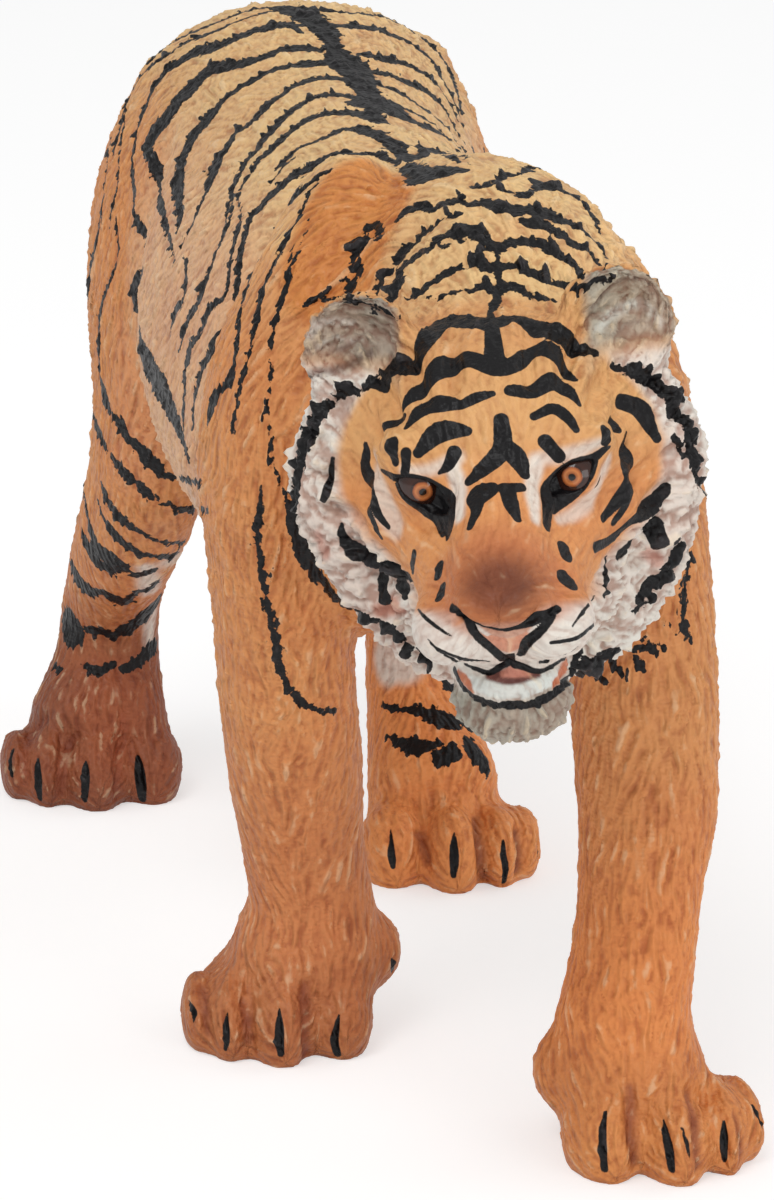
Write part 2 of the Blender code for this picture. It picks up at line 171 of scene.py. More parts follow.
loft(
    [
        (0.4, -36, 41.5, 6.0, 7.6, 0.05),
        (0.4, -31, 42.0, 8.2, 11.4, 0.05),
        (0.0, -24, 42.0, 9.8, 13.2, 0.08),
        (-0.7, -14, 41.0, 10.9, 14.4, 0.12),
        (-1.0, 0, 40.6, 11.55, 15.2, 0.15),
        (-0.7, 12, 41.3, 11.9, 15.2, 0.13),
        (0.1, 22, 43.2, 12.3, 14.5, 0.03),
        (0.6, 30, 45.0, 12.1, 13.0, -0.02),
        (0.9, 37, 46.5, 10.3, 9.7, -0.03),
        (0.5, 41, 47.3, 5.8, 6.0, 0.0),
    ],
    ring=120,
)
loft(
    [
        (1.0, -15, 43.6, 8.5, 11.7, 0.07),
        (1.8, -22, 45.0, 9.35, 12.1, 0.04),
        (1.65, -30, 45.2, 9.3, 11.2, 0.04),
        (0.5, -37, 44.2, 8.8, 9.3, 0.05),
        (-0.8, -43, 43.4, 8.2, 8.0, 0.0),
    ],
    ring=120,
)

# Forelegs: a shoulder blade under the skin, then upper arm, elbow, forearm and wrist in one column.
ball((-6.8, -20, 46.2), (4.6, 7.2, 11.3), axis=(0.22, 0.35, 0.9))
loft(
    [
        (-7.0, -20.5, 50, 3.6, 5.4),
        (-8.8, -20, 44, 4.4, 7.0),
        (-9.5, -19.5, 38, 4.5, 7.0),
        (-9.1, -18.9, 32.5, 4.2, 6.2),
        (-8.6, -17.9, 27.5, 4.1, 5.4),
        (-8.0, -16.8, 23, 4.15, 4.9),
        (-7.1, -15, 17.5, 4.1, 4.4),
        (-6.5, -13.8, 13.8, 3.85, 4.1),
        (-6.0, -13.2, 11, 3.75, 4.0),
        (-5.5, -12.8, 8.4, 3.9, 4.3),
        (-5.8, -12.9, 5, 4.8, 5.2),
    ]
)
ball((7.1, -24, 45.4), (4.7, 7.2, 10.9), axis=(-0.16, 0.25, 0.95))
loft(
    [
        (7.6, -24.5, 50, 3.6, 5.4),
        (9.0, -25.4, 44, 4.4, 7.0),
        (9.9, -26.4, 38, 4.6, 7.0),
        (10.4, -27.7, 32.5, 4.5, 6.2),
        (10.9, -29, 27.5, 4.3, 5.4),
        (11.0, -30.4, 22.5, 4.2, 4.8),
        (10.9, -31.5, 19.2, 4.0, 4.5),
        (10.5, -32.2, 16.5, 3.7, 4.2),
        (10.25, -32.8, 13.8, 3.55, 4.0),
        (9.8, -33.4, 10.5, 3.65, 4.2),
        (9.3, -34, 8, 3.9, 4.7),
        (9.5, -34.3, 5, 4.6, 5.3),
    ]
)

# Haunches and hind legs: thigh, stifle and the lean shank above the hock.
loft(
    [
        (-6.2, 31, 50.7, 4.1, 6.5),
        (-8.2, 29.5, 45, 4.6, 9.6),
        (-8.9, 28, 38.5, 4.7, 10.3),
        (-9.1, 27, 32, 4.3, 8.6),
        (-9.6, 28, 26, 3.85, 6.2),
        (-10.15, 32, 20.5, 3.55, 4.7),
        (-10.35, 36.6, 16.2, 3.4, 3.9),
        (-10.4, 39.4, 12.2, 3.4, 3.6),
        (-10.6, 39.6, 8.5, 3.8, 4.0),
        (-11.2, 38.6, 5, 4.9, 5.0),
    ]
)
loft(
    [
        (6.9, 30.5, 51.5, 4.3, 6.5),
        (8.4, 28, 45, 4.7, 9.6),
        (9.2, 25.5, 38.5, 4.7, 10.4),
        (9.5, 22.5, 32, 4.5, 8.8),
        (9.5, 21, 26, 4.2, 6.5),
        (9.0, 23, 20.5, 3.8, 4.9),
        (8.55, 25.4, 16, 3.3, 3.9),
        (8.4, 25.3, 12, 3.1, 3.6),
        (8.6, 23.7, 8.5, 3.45, 4.0),
        (9.1, 20.5, 4.8, 4.5, 5.0),
    ]
)

# Tail: a thin rod that hangs behind the hind legs, its tip turned up and back.
TAIL = [
    (0.3, 38, 49, 3.4, 3.2),
    (0.8, 43.5, 48.5, 2.6, 2.5),
    (1.6, 48, 43.5, 2.1, 2.1),
    (2.6, 50, 36, 1.9, 1.9),
    (3.6, 50.5, 28, 1.85, 1.85),
    (4.2, 50.5, 20, 1.8, 1.8),
    (4.4, 51.5, 13.5, 1.7, 1.7),
    (4.3, 54.5, 9.5, 1.6, 1.6),
]
loft(TAIL, ring=48)

# Paws: a pad with four toes side by side, inner toe first, of which the outermost is small and set far
# back. Each row has where a toe starts and ends as a share of the paw's half width, how far it is set
# forward as a share of its length, and its half height.
TOE_LENGTH = 3.7
TOES = [(-1.0, -0.33, 0.45, 3.3), (-0.33, 0.3, 0.8, 3.4), (0.3, 0.75, 0.55, 3.1), (0.7, 1.02, 0.15, 2.6)]


def paw(x, y, half, yaw, outer):
    """Ellipsoids for the pad and toes; outer is 1 on a left paw and -1 on a right one."""
    c, s = np.cos(np.radians(yaw)), np.sin(np.radians(yaw))
    side, ahead, up = np.array((c, s, 0)) * outer, np.array((s, -c, 0)), np.array((0, 0, 1.0))
    centre = np.array((x, y, 0.0))
    ball(centre + up * 2.2 - ahead * 1.8 - side * half * 0.06, (half * 0.84, 4.8, 3.7), side=side)
    for low, high, reach, tall in TOES:
        toe = centre + side * half * (low + high) / 2 + ahead * TOE_LENGTH * reach + up * 1.8
        ball(toe, (half * (high - low) * 0.55, TOE_LENGTH, tall), side=side)


paw(-7.75, -13.4, 5.75, -6, -1)
paw(11.05, -35.4, 5.9, 5, 1)
paw(-12.0, 37.6, 6.2, -4, -1)
paw(9.5, 17.2, 6.05, -4, 1)
ball((-1.8, -12.8, 5.2), (2.1, 2.6, 2.5))
ball((5.8, -33.6, 4.6), (1.8, 2.6, 2.5))

# Head: skull, forehead, bridge of the nose, muzzle, jaw and chin. It is drawn from the point between
# the eyes along the tiger's left, ahead and up, because it is lowered, turned and tilted.
EYES = np.array((-2.8, -49.5, 44.7))
HEAD = np.array(
    Matrix.Rotation(np.radians(-12.7), 3, "Z")
    @ Matrix.Rotation(np.radians(11.0), 3, "X")
    @ Matrix.Rotation(np.radians(-5.8), 3, "Y")
)


def way(left, ahead, up):
    """Direction given along the head's own left, ahead and up, turned by HEAD."""
    return HEAD @ np.array((left, -ahead, up), float)


def at(left, ahead, up):
    """Place given in the same way, from the point between the eyes."""
    return EYES + way(left, ahead, up)


def head_loft(rows, **settings):
    """Loft whose rows are given in the head's own frame."""
    loft([(*at(*row[:3]), *row[3:]) for row in rows], **settings)


LEFT, AHEAD, CROWN = way(1, 0, 0), way(0, 1, 0), way(0, 0, 1)
ball(at(0, -8.4, -0.9), (8.3, 9.4, 6.9), axis=CROWN, side=LEFT, ring=96)
head_loft(
    [
        (0, -11, 0.8, 6.6, 4.8),
        (0, -8, 0.9, 6.8, 5.2),
        (0, -5, 0.5, 6.7, 4.8),
        (0, -2.6, -0.1, 6.0, 3.7),
        (0, -0.9, -0.8, 4.6, 2.9),
        (0, 0.4, -1.2, 3.2, 2.6),
    ],
    side=LEFT,
)
head_loft(
    [
        (0, -3, -0.7, 3.6, 3.0),
        (0, 0, -1.1, 3.0, 2.7),
        (0, 3, -1.9, 2.8, 2.5),
        (0, 6, -2.7, 2.8, 2.1),
        (0, 8.0, -3.3, 2.8, 1.7),
    ],
    side=LEFT,
    blunt=0.6,
    power=2.0,
)
head_loft(
    [
        (0, -5, -3.6, 7.0, 4.6),
        (0, -1.5, -3.9, 6.0, 3.9),
        (0, 1.5, -4.2, 4.9, 3.4),
        (0, 4.5, -4.6, 4.4, 3.0),
        (0, 6.8, -4.9, 3.9, 2.2),
    ],
    side=LEFT,
)
ball(at(0, 8.5, -3.0), (2.7, 1.5, 1.5), axis=CROWN, side=LEFT)
ball(at(0, 2.6, -8.5), (3.5, 5.4, 2.0), axis=CROWN, side=LEFT)
ball(at(0.1, 4.6, -10.5), (3.3, 2.7, 2.4), axis=CROWN, side=LEFT)
ball(at(0, -4.6, -7.4), (6.8, 6.2, 4.4), axis=CROWN, side=LEFT)
for q in (-1, 1):
    ball(at(q * 2.5, 6.0, -5.0), (2.5, 3.3, 2.0), axis=way(q * 0.25, 0, 1), side=LEFT)
    ball(at(q * 5.6, -5.0, -3.4), (2.7, 3.6, 3.8), axis=CROWN, side=LEFT)
    ball(at(q * 4.1, -2.2, 1.5), (2.5, 2.0, 1.4), axis=way(0, -0.4, 1), side=LEFT)
    ball(at(q * 4.2, -1.3, -0.1), (1.7, 1.7, 1.7), axis=CROWN, side=LEFT)

# Ruff: long tufts of pale hair that stand out round the cheeks and throat.
for q in (-1, 1):
    head_loft(
        [
            (q * 6.5 - 0.2, -9.6, 3.2, 1.6, 2.2),
            (q * 8.0 - 0.25, -8.8, 0.7, 1.9, 2.4),
            (q * 9.0 - 0.25, -7.8, -2.2, 2.3, 2.7),
            (q * 8.3 - 0.2, -6.8, -5.4, 2.3, 2.7),
            (q * 6.4, -5.4, -8.6, 2.1, 2.7),
            (q * 4.0, -4.4, -10.9, 1.9, 2.6),
            (q * 1.8, -3.8, -11.6, 1.8, 2.4),
        ],
        side=AHEAD,
    )
    for k in range(12):
        turn = np.radians(196 + 13.5 * k)
        inner = at(q * -7.6 * np.sin(turn), -3.4, -2.6 + 7.2 * np.cos(turn))
        outer = at(q * -11.4 * np.sin(turn + 0.08), -7.5, -3.6 + 9.2 * np.cos(turn + 0.08))
        carve([inner, inner * 0.5 + outer * 0.5 + CROWN * 0.4, outer], 0.5, -0.6)

# Ears: thin cups, hollow side forward, spun from a section and stretched upwards.
EAR_SECTION = [(0, -1.2), (0.35, -1.1), (0.6, -0.75), (0.76, -0.1), (0.85, 0.35), (0.95, 0.25)]
EAR_SECTION += [(1.0, -0.3), (0.97, -1.0), (0.82, -1.8), (0.5, -2.4), (0, -2.7)]


def ear(centre, front, axis, width, height):
    """Section turned about front: radius times the sine and cosine of the turn, and depth along front."""
    t = front / np.linalg.norm(front)
    s = axis - t * (t @ axis)
    s /= np.linalg.norm(s)
    b = np.cross(t, s)
    line = spline(EAR_SECTION, 5)
    turn = np.linspace(0, 2 * np.pi, 72, endpoint=False)[None, :, None]
    r, d = line[1:-1, 0][:, None, None], line[1:-1, 1][:, None, None]
    grid = centre + s * height * r * np.cos(turn) + b * width * r * np.sin(turn) + t * d
    shell(grid, [centre + t * line[0, 1], centre + t * line[-1, 1]])


for q in (-1, 1):
    ear(at(q * 7.3 - 0.3, -8.7, 5.05 + q * 0.35), way(q * 0.25, 1, 0.4), way(q * 0.6, -0.4, 1), 3.45, 3.2)

# The fused casting: all the shells become one skin of small squares, which is then relaxed, as the
# real one is a single moulding with no joint lines. Each square is then cut in four.
VOXEL = 0.425
mesh = bpy.data.meshes.new("masses")
mesh.from_pydata(np.vstack(shell_points).tolist(), [], shell_faces)
masses = stood("masses", mesh)
fuse = masses.modifiers.new("fuse", "REMESH")
fuse.mode = "VOXEL"
fuse.voxel_size = VOXEL
skin = bpy.data.meshes.new_from_object(masses.evaluated_get(bpy.context.evaluated_depsgraph_get()))
bpy.data.objects.remove(masses)


def gathered(index, values, count):
    """Sum of the values that share an index, for each index, one column at a time."""
    return np.stack([np.bincount(index, column, count) for column in values.T], 1)


def relaxed(points, pairs, share):
    """One pass of moving each point a share of the way to the mean of its neighbours."""
    a, b = pairs.T
    index, other = np.concatenate([a, b]), np.concatenate([b, a])
    near = np.bincount(index, minlength=len(points))[:, None]
    return points + share * (gathered(index, points[other], len(points)) / np.maximum(near, 1) - points)


def unit(v):
    """Each row divided by its own length."""
    return v / np.maximum(np.linalg.norm(v, axis=1), 1e-12)[:, None]


def normals(points, squares):
    """Mean of the face normals round each point, a face's being the cross product of its diagonals."""
    a, b, c, d = points[squares.T]
    cross = np.cross(c - a, d - b)
    return unit(gathered(squares.ravel(), np.repeat(cross, 4, 0), len(points)))


def ramp(value, low, high):
    """Smooth step: 0 below low, 1 above high, 3t^2 - 2t^3 between."""
    t = np.clip((value - low) / (high - low), 0, 1)
    return t * t * (3 - 2 * t)


def in_head(points):
    """Left, ahead and up of each point in the head's own frame."""
    return (points - EYES) @ HEAD * (1, -1, 1)


def finer(points, facing, squares):
    """Each square becomes four. A new point is the mean of its corners, drawn onto the mean of the
    planes that touch the skin at them; rim holds the new points that lie on an open edge."""
    ends = np.sort(np.stack([squares, np.roll(squares, -1, 1)], -1).reshape(-1, 2), 1)
    edges, which = np.unique(ends[:, 0] * len(points) + ends[:, 1], return_inverse=True)
    a, b = edges // len(points), edges % len(points)
    which = which.reshape(-1, 4) + len(points)
    middle = np.arange(len(squares)) + len(points) + len(edges)
    news = [points], [facing]
    for corners in (np.stack([a, b], 1), squares):
        mean = points[corners].mean(1)
        n = facing[corners]
        drop = ((points[corners] - mean[:, None]) * n).sum(2)
        news[0].append(mean + 0.75 * (n * drop[:, :, None]).mean(1))
        news[1].append(unit(n.sum(1)))
    four = [np.stack([squares[:, k], which[:, k], middle, which[:, k - 1]], 1) for k in range(4)]
    lone = np.bincount(which.ravel() - len(points), minlength=len(edges)) == 1
    rim = np.stack([np.flatnonzero(lone) + len(points), a[lone], b[lone]], 1)
    return np.vstack(news[0]), np.vstack(news[1]), np.concatenate(four), rim


points = np.empty(len(skin.vertices) * 3, np.float32)
skin.vertices.foreach_get("co", points)
points = points.reshape(-1, 3).astype(float)
pairs = np.empty(len(skin.edges) * 2, np.int64)
skin.edges.foreach_get("vertices", pairs)
pairs = pairs.reshape(-1, 2)
squares = np.empty(len(skin.loops), np.int64)
skin.loops.foreach_get("vertex_index", squares)
squares = squares.reshape(-1, 4)
bpy.data.meshes.remove(skin)

# Four passes relax the whole skin, and six more only what lies behind the face, which stays crisp.
face_share = ramp(in_head(points)[:, 1], -9.0, -5.0)[:, None]
for turns, share in ((4, 0.5), (6, 0.5 * (1 - face_share))):
    for _ in range(turns):
        points = relaxed(points, pairs, share)
points[:, 2] = np.maximum(points[:, 2], 0)
smooth = bpy.data.meshes.new("smooth")
smooth.from_pydata(points.tolist(), [], squares.tolist())
smooth_skin = stood("smooth", smooth)
bpy.context.view_layer.update()
place, out, squares, _ = finer(points, normals(points, squares), squares)

# Paint lines: each is a row of frame x, y and half width in pixels, laid on the skin that the camera
# sees there, so that it keeps its place and width on the skin from every side.
BESIDE, BEHIND, LEAP = 60, 90, 2.5


def sight(x, y):
    """Way from the lens through a point of the frame: ahead, and right and up by its offset / FOCAL."""
    return ahead_way + right_way * (x - FRAME_WIDTH / 2) / FOCAL - up_way * (y - FRAME_HEIGHT / 2) / FOCAL


def seen(x, y):
    """Place on the skin that shows at a point of the 774 x 1200 frame, or None."""
    found, hit, _, _ = smooth_skin.ray_cast(Vector(LENS_POINT), Vector(sight(x, y)).normalized())
    return np.array(hit) if found else None


def traced(rows, widest=2.4, narrowest=0.8):
    """Places on the skin along the curve through the rows, each with a half width in mm: half of what
    lies across the line between the places seen on either side of it, between narrowest and widest
    times its width in the frame."""
    samples = spline(rows, 4)
    along = unit(np.gradient(samples[:, :2], axis=0))
    hits, spans, plain = [], [], []
    for (x, y, half), (u, v) in zip(samples, along):
        hit, sides = seen(x, y), [seen(x - v * half * q, y + u * half * q) for q in (-1, 1)]
        if hit is not None:
            sides = [hit if side is None else side for side in sides]
            hits.append(hit)
            spans.append((sides[1] - sides[0]) / 2)
            plain.append(half * ((hit - LENS_POINT) @ ahead_way) / FOCAL)
    if len(hits) < 2:
        return np.zeros((0, 4))
    hits, spans, plain = np.array(hits), np.array(spans), np.array(plain)
    course = unit(np.gradient(hits, axis=0))
    across = np.linalg.norm(spans - course * (spans * course).sum(1)[:, None], axis=1)
    return np.column_stack([hits, np.clip(across, plain * narrowest, plain * widest)])


def crop(rows, left=270, top=270, scale=3.2):
    """Rows read on an enlarged part of the frame, put back into the frame's own pixels."""
    return [(left + x / scale, top + y / scale, half / scale) for x, y, half in rows]


def repeated(line, lead=17, back=0.8, belly=36, ankle=10, inner=2, apart=0.8):
    """The same line on the left flank, where the camera doesn't see it, a little further back. The left
    paws stand lead mm further forward, so the bands of the legs move with them, all the way at the ankle
    and not at all at the belly. What falls on the inner side, or on skin that the camera sees, is left
    out."""
    lens, other = Vector(LENS_POINT), []
    for x, y, z, half in line:
        y -= lead * min(max((belly - z) / (belly - ankle), 0), 1) - back
        found, hit, _, _ = smooth_skin.ray_cast(Vector((BESIDE, y, z)), Vector((-1, 0, 0)))
        if not found or hit.x < inner:
            continue
        shown, first, _, _ = smooth_skin.ray_cast(lens, (hit - lens).normalized())
        if not shown or (first - hit).length > apart:
            other.append((*hit, half))
    return np.array(other).reshape(-1, 4)


def from_behind(rows):
    """Rows of x, z and half width in mm, laid on the skin as seen from behind the tail."""
    line = []
    for x, z, half in spline(rows, 6):
        found, hit, _, _ = smooth_skin.ray_cast(Vector((x, BEHIND, z)), Vector((0, -1, 0)))
        if found:
            line.append((*hit, half))
    return np.array(line).reshape(-1, 4)


def paint_reach(lines, cloud, within=2.0):
    """For each point the most that any line's half width exceeds its distance from that line. A step
    of the line longer than LEAP jumps over a gap, and is left out."""
    best = np.full(len(cloud), -within)
    for line in lines:
        if len(line) < 2:
            continue
        edge = within + line[:, 3].max()
        low, high = line[:, :3].min(0) - edge, line[:, :3].max(0) + edge
        close = np.flatnonzero(((cloud > low) & (cloud < high)).all(1))
        p, top = cloud[close], best[close]
        for a, b in zip(line, line[1:]):
            span = b[:3] - a[:3]
            if span @ span > LEAP**2:
                continue
            share = np.clip((p - a[:3]) @ span / max(span @ span, 1e-9), 0, 1)
            gap = np.linalg.norm(p - a[:3] - share[:, None] * span, axis=1)
            top = np.maximum(top, a[3] + (b[3] - a[3]) * share - gap)
        best[close] = top
    return best


def carved(cloud):
    """Height of the carving at each point: every stroke adds height times exp(-(distance / reach)^2)."""
    lift = np.zeros(len(cloud))
    for knots, reach, height in strokes:
        far = 2.6 * reach
        gap = -paint_reach([np.hstack([knots, np.zeros((len(knots), 1))])], cloud, far)
        lift += np.where(gap < far, height * np.exp(-((gap / reach) ** 2)), 0)
    return lift


# Carving: folds behind the elbows, before the thighs and down the neck, then the lids, lips, nostrils
# and cheek lines of the face, cut into the master before moulding.
for line, reach, height in [
    ([(-5, -11.5, 57), (-9.6, -11, 51), (-11.8, -11.5, 44), (-12, -13, 37), (-11.5, -13.5, 31)], 1.6, -0.75),
    ([(7, -14.5, 57), (10, -14.5, 51), (12, -15, 44), (12.6, -17.5, 37), (12, -20, 31)], 1.6, -0.7),
    ([(-4, -30, 55), (-8.4, -30, 48), (-10, -28, 39), (-9, -25, 32)], 1.5, -0.6),
    ([(7, -31, 54), (10, -32, 47), (11, -32, 39)], 1.5, -0.5),
    ([(-10.6, 17, 49), (-12.2, 17, 43), (-12.6, 17, 37), (-11.6, 15, 30)], 1.8, -0.7),
    ([(10.6, 16, 49), (12.2, 16, 43), (12.6, 15, 37), (11.6, 13, 30)], 1.8, -0.7),
    ([(0, -18, 57), (0, 0, 56), (0.3, 15, 57), (0.5, 30, 58)], 2.2, 0.35),
]:
    carve(line, reach, height)
for q in (-1, 1):
    for line, reach, height in [
        ([(1.7, 1.6, -1.6), (2.5, 1.0, 0.5), (4.2, 0.6, 1.4), (6.0, -0.8, 1.5)], 0.5, -0.3),
        ([(1.9, 1.8, -1.9), (3.6, 0.9, -1.8), (5.2, 0.0, -1.3), (6.1, -0.9, -0.2)], 0.5, -0.25),
        ([(0.4, 10.0, -4.2), (1.4, 9.8, -3.9), (2.5, 9.1, -3.0)], 0.4, -0.5),
        ([(4.6, 3.2, -7.4), (5.9, 0.4, -6.6), (7, -2.6, -4), (7.4, -4.4, 0), (6.8, -5.8, 3.4)], 0.8, -0.4),
        ([(0.8, 0.6, 2.8), (2.2, -1.2, 4.6), (4.2, -3.8, 5.4)], 1.0, -0.2),
    ]:
        carve([at(q * a, b, c) for a, b, c in line], reach, height)

# Fur: wavy locks pressed into the whole skin. They run back along the trunk, down the legs and away
# from the nose, lie flatter on the face and toes, and stand up as thick tufts in the ruff.
random = np.random.RandomState(7)
shuffle = random.permutation(256)
shuffle = np.concatenate([shuffle, shuffle])
slopes = unit(random.normal(size=(256, 3)))


def ripple(p):
    """Gradient noise: on each cell's eight corners a fixed slope times the offset, blended smoothly."""
    cell = np.floor(p).astype(np.int64)
    f = p - cell
    x, y, z = (cell & 255).T
    u, v, w = (f * f * f * (f * (f * 6 - 15) + 10)).T
    total = np.zeros(len(p))
    for dx in (0, 1):
        for dy in (0, 1):
            for dz in (0, 1):
                corner = shuffle[shuffle[(x + dx) & 255] + ((y + dy) & 255)] + ((z + dz) & 255)
                value = (slopes[shuffle[corner]] * (f - (dx, dy, dz))).sum(1)
                total += value * (u if dx else 1 - u) * (v if dy else 1 - v) * (w if dz else 1 - w)
    return total


# Where the hair is noted to lie: a place, and the way it runs there.
lie = [
    ((0, -36, 56), (0, 1, 0.1)),
    ((0, -20, 57), (0, 1, 0)),
    ((0, 0, 56), (0, 1, 0)),
    ((0, 20, 57.5), (0, 1, 0)),
    ((0, 36, 56), (0, 1, -0.4)),
    ((0, -5, 27), (0, 1, 0)),
    ((0, 12, 27), (0, 1, 0.1)),
    ((0, -34, 34), (0, 0.3, -1)),
    ((0, -28, 28), (0, 1, -0.5)),
    ((1, 44, 48.5), (0, 1, -0.5)),
    ((2, 49, 40), (0, 0.2, -1)),
    ((4, 51, 20), (0, 0, -1)),
    ((4.4, 53, 11), (0, 0.6, -0.8)),
]
for q, fore, hind in ((-1, -14, 38), (1, -33, 22)):
    lie += [
        ((q * 9, -36, 47), (0, 1, -0.5)),
        ((q * 11, -2, 44), (0, 0.8, -0.7)),
        ((q * 12, 12, 42), (0, 0.8, -0.7)),
        ((q * 11, -2, 33), (0, 0.8, -0.6)),
        ((q * 9, 10, 30), (0, 1, -0.3)),
        ((q * 7, -21, 56), (q * 0.8, 0.5, -0.2)),
        ((q * 9.5, -24, 51), (q * 0.6, 0.2, -0.8)),
        ((q * 11, -22, 40), (0, 0.35, -1)),
        ((q * 9, fore - 3, 30), (0, 0.2, -1)),
        ((q * 8, fore, 20), (0, 0, -1)),
        ((q * 8, fore, 9), (0, -0.3, -1)),
        ((q * 9, fore - 6, 5), (0, -1, -0.5)),
        ((q * 11, 28, 48), (0, 0.6, -0.8)),
        ((q * 12, 27, 38), (0, 0.3, -1)),
        ((q * 11, 27, 28), (0, 0.5, -0.9)),
        ((q * 10, hind, 16), (0, 0.1, -1)),
        ((q * 10, hind, 8), (0, -0.1, -1)),
        ((q * 10, hind - 6, 4), (0, -1, -0.5)),
    ]


def apparent(cloud):
    """Left of the head's middle, height as it shows from in front, and how far ahead of the eyes."""
    left, ahead, up = in_head(cloud).T
    return left, 0.9 * up - 0.44 * ahead, ahead


def on_head(cloud, low=-13, high=-10):
    """1 on the head, 0 behind the ears and away from it."""
    near = np.linalg.norm(cloud - at(0, -2, -2), axis=1)
    return ramp(in_head(cloud)[:, 1], low, high) * (1 - ramp(near, 15.5, 17))


def in_ruff(cloud):
    """1 on the tufts that stand out round the cheeks."""
    left, high, ahead = apparent(cloud)
    side = np.hypot(left / 8.9, (high - 1.5) / 7.2)
    ear = ramp(in_head(cloud)[:, 2], 3.2, 4.4)
    return ramp(side, 0.97, 1.07) * (1 - ear) * (1 - ramp(ahead, -1.5, 0.5)) * on_head(cloud, -12, -10.5)


def combed(cloud, facing):
    """Way the hair lies at each point: the ways noted above, weighted by 1 / distance^4, or away from
    the nose on the head, made level with the skin and swayed by noise."""
    flow = np.zeros_like(cloud)
    total = np.zeros(len(cloud))
    for spot, along in lie:
        weight = 1 / (((cloud - spot) ** 2).sum(1) + 4) ** 2
        flow += weight[:, None] * along
        total += weight
    head = on_head(cloud)[:, None]
    flow = flow / total[:, None] * (1 - head) + unit(cloud - at(0, 9, -3)) * head
    flow = unit(flow - facing * (flow * facing).sum(1)[:, None])
    sway = (0.75 * ripple(cloud / 2.4) + 0.6 * ripple(cloud / 1.0 + 40))[:, None]
    return flow * np.cos(sway) + np.cross(facing, flow) * np.sin(sway)


def locks(cloud, flow, width, length, count):
    """Noise of a lock's width, averaged along the way the hair lies, which draws it out into locks, and
    divided by its usual size, so that most of it lies between -1 and 1."""
    usual, total = 0.09, np.zeros(len(cloud))
    for k in np.linspace(-0.5, 0.5, count):
        total += ripple((cloud + flow * (k * length)) / width + 17.3)
    return total / count / usual


def fur_height(cloud, facing):
    """Relief in mm, and the same without its unit: rounded locks with sharp valleys, coarser on the nape
    and finer elsewhere, with larger tufts in the ruff, ears and chin; then the way that the hair lies,
    and how much the thin strands of the paint's own relief show."""
    flow = combed(cloud, facing)
    left, high, ahead = apparent(cloud)
    up = in_head(cloud)[:, 2]
    head, ruff = on_head(cloud), in_ruff(cloud)
    nape = ramp(-cloud[:, 1], 18, 26) * ramp(cloud[:, 2], 44, 50) * (1 - head)
    locked = locks(cloud, flow, 0.4, 1.3, 7) * (1 - nape) + locks(cloud, flow, 0.52, 1.4, 7) * nape
    relief = 0.9 * (np.abs(locked) - 0.8 + 0.4 * locked)
    ear = ramp(up, 3.4, 4.6) * ramp(np.abs(left), 4.2, 5.2) * head
    chin = ramp(-up, 8.4, 9.4) * head * ramp(ahead, -1, 1)
    bald = head * (1 - ruff) * (1 - ear) * (1 - chin) * 0.7 * ramp(ahead, -9, -5)
    depth = 0.078 * (1 - bald) * (0.62 + 0.38 * ramp(cloud[:, 2], 14, 34)) * ramp(cloud[:, 2], 0.2, 1.5)
    tuft = (ruff + 0.7 * ear + 0.5 * chin) * (np.abs(locks(cloud, flow, 0.85, 5.5, 11)) - 0.7)
    fine = relief * (1 - 0.35 * ruff)
    relief = fine * (1 - 0.5 * bald) + 2.0 * tuft
    return fine * depth * (1 + 0.5 * nape) + 0.3 * tuft, relief, flow, (1 - 0.6 * bald) * (1 - 0.4 * ruff)


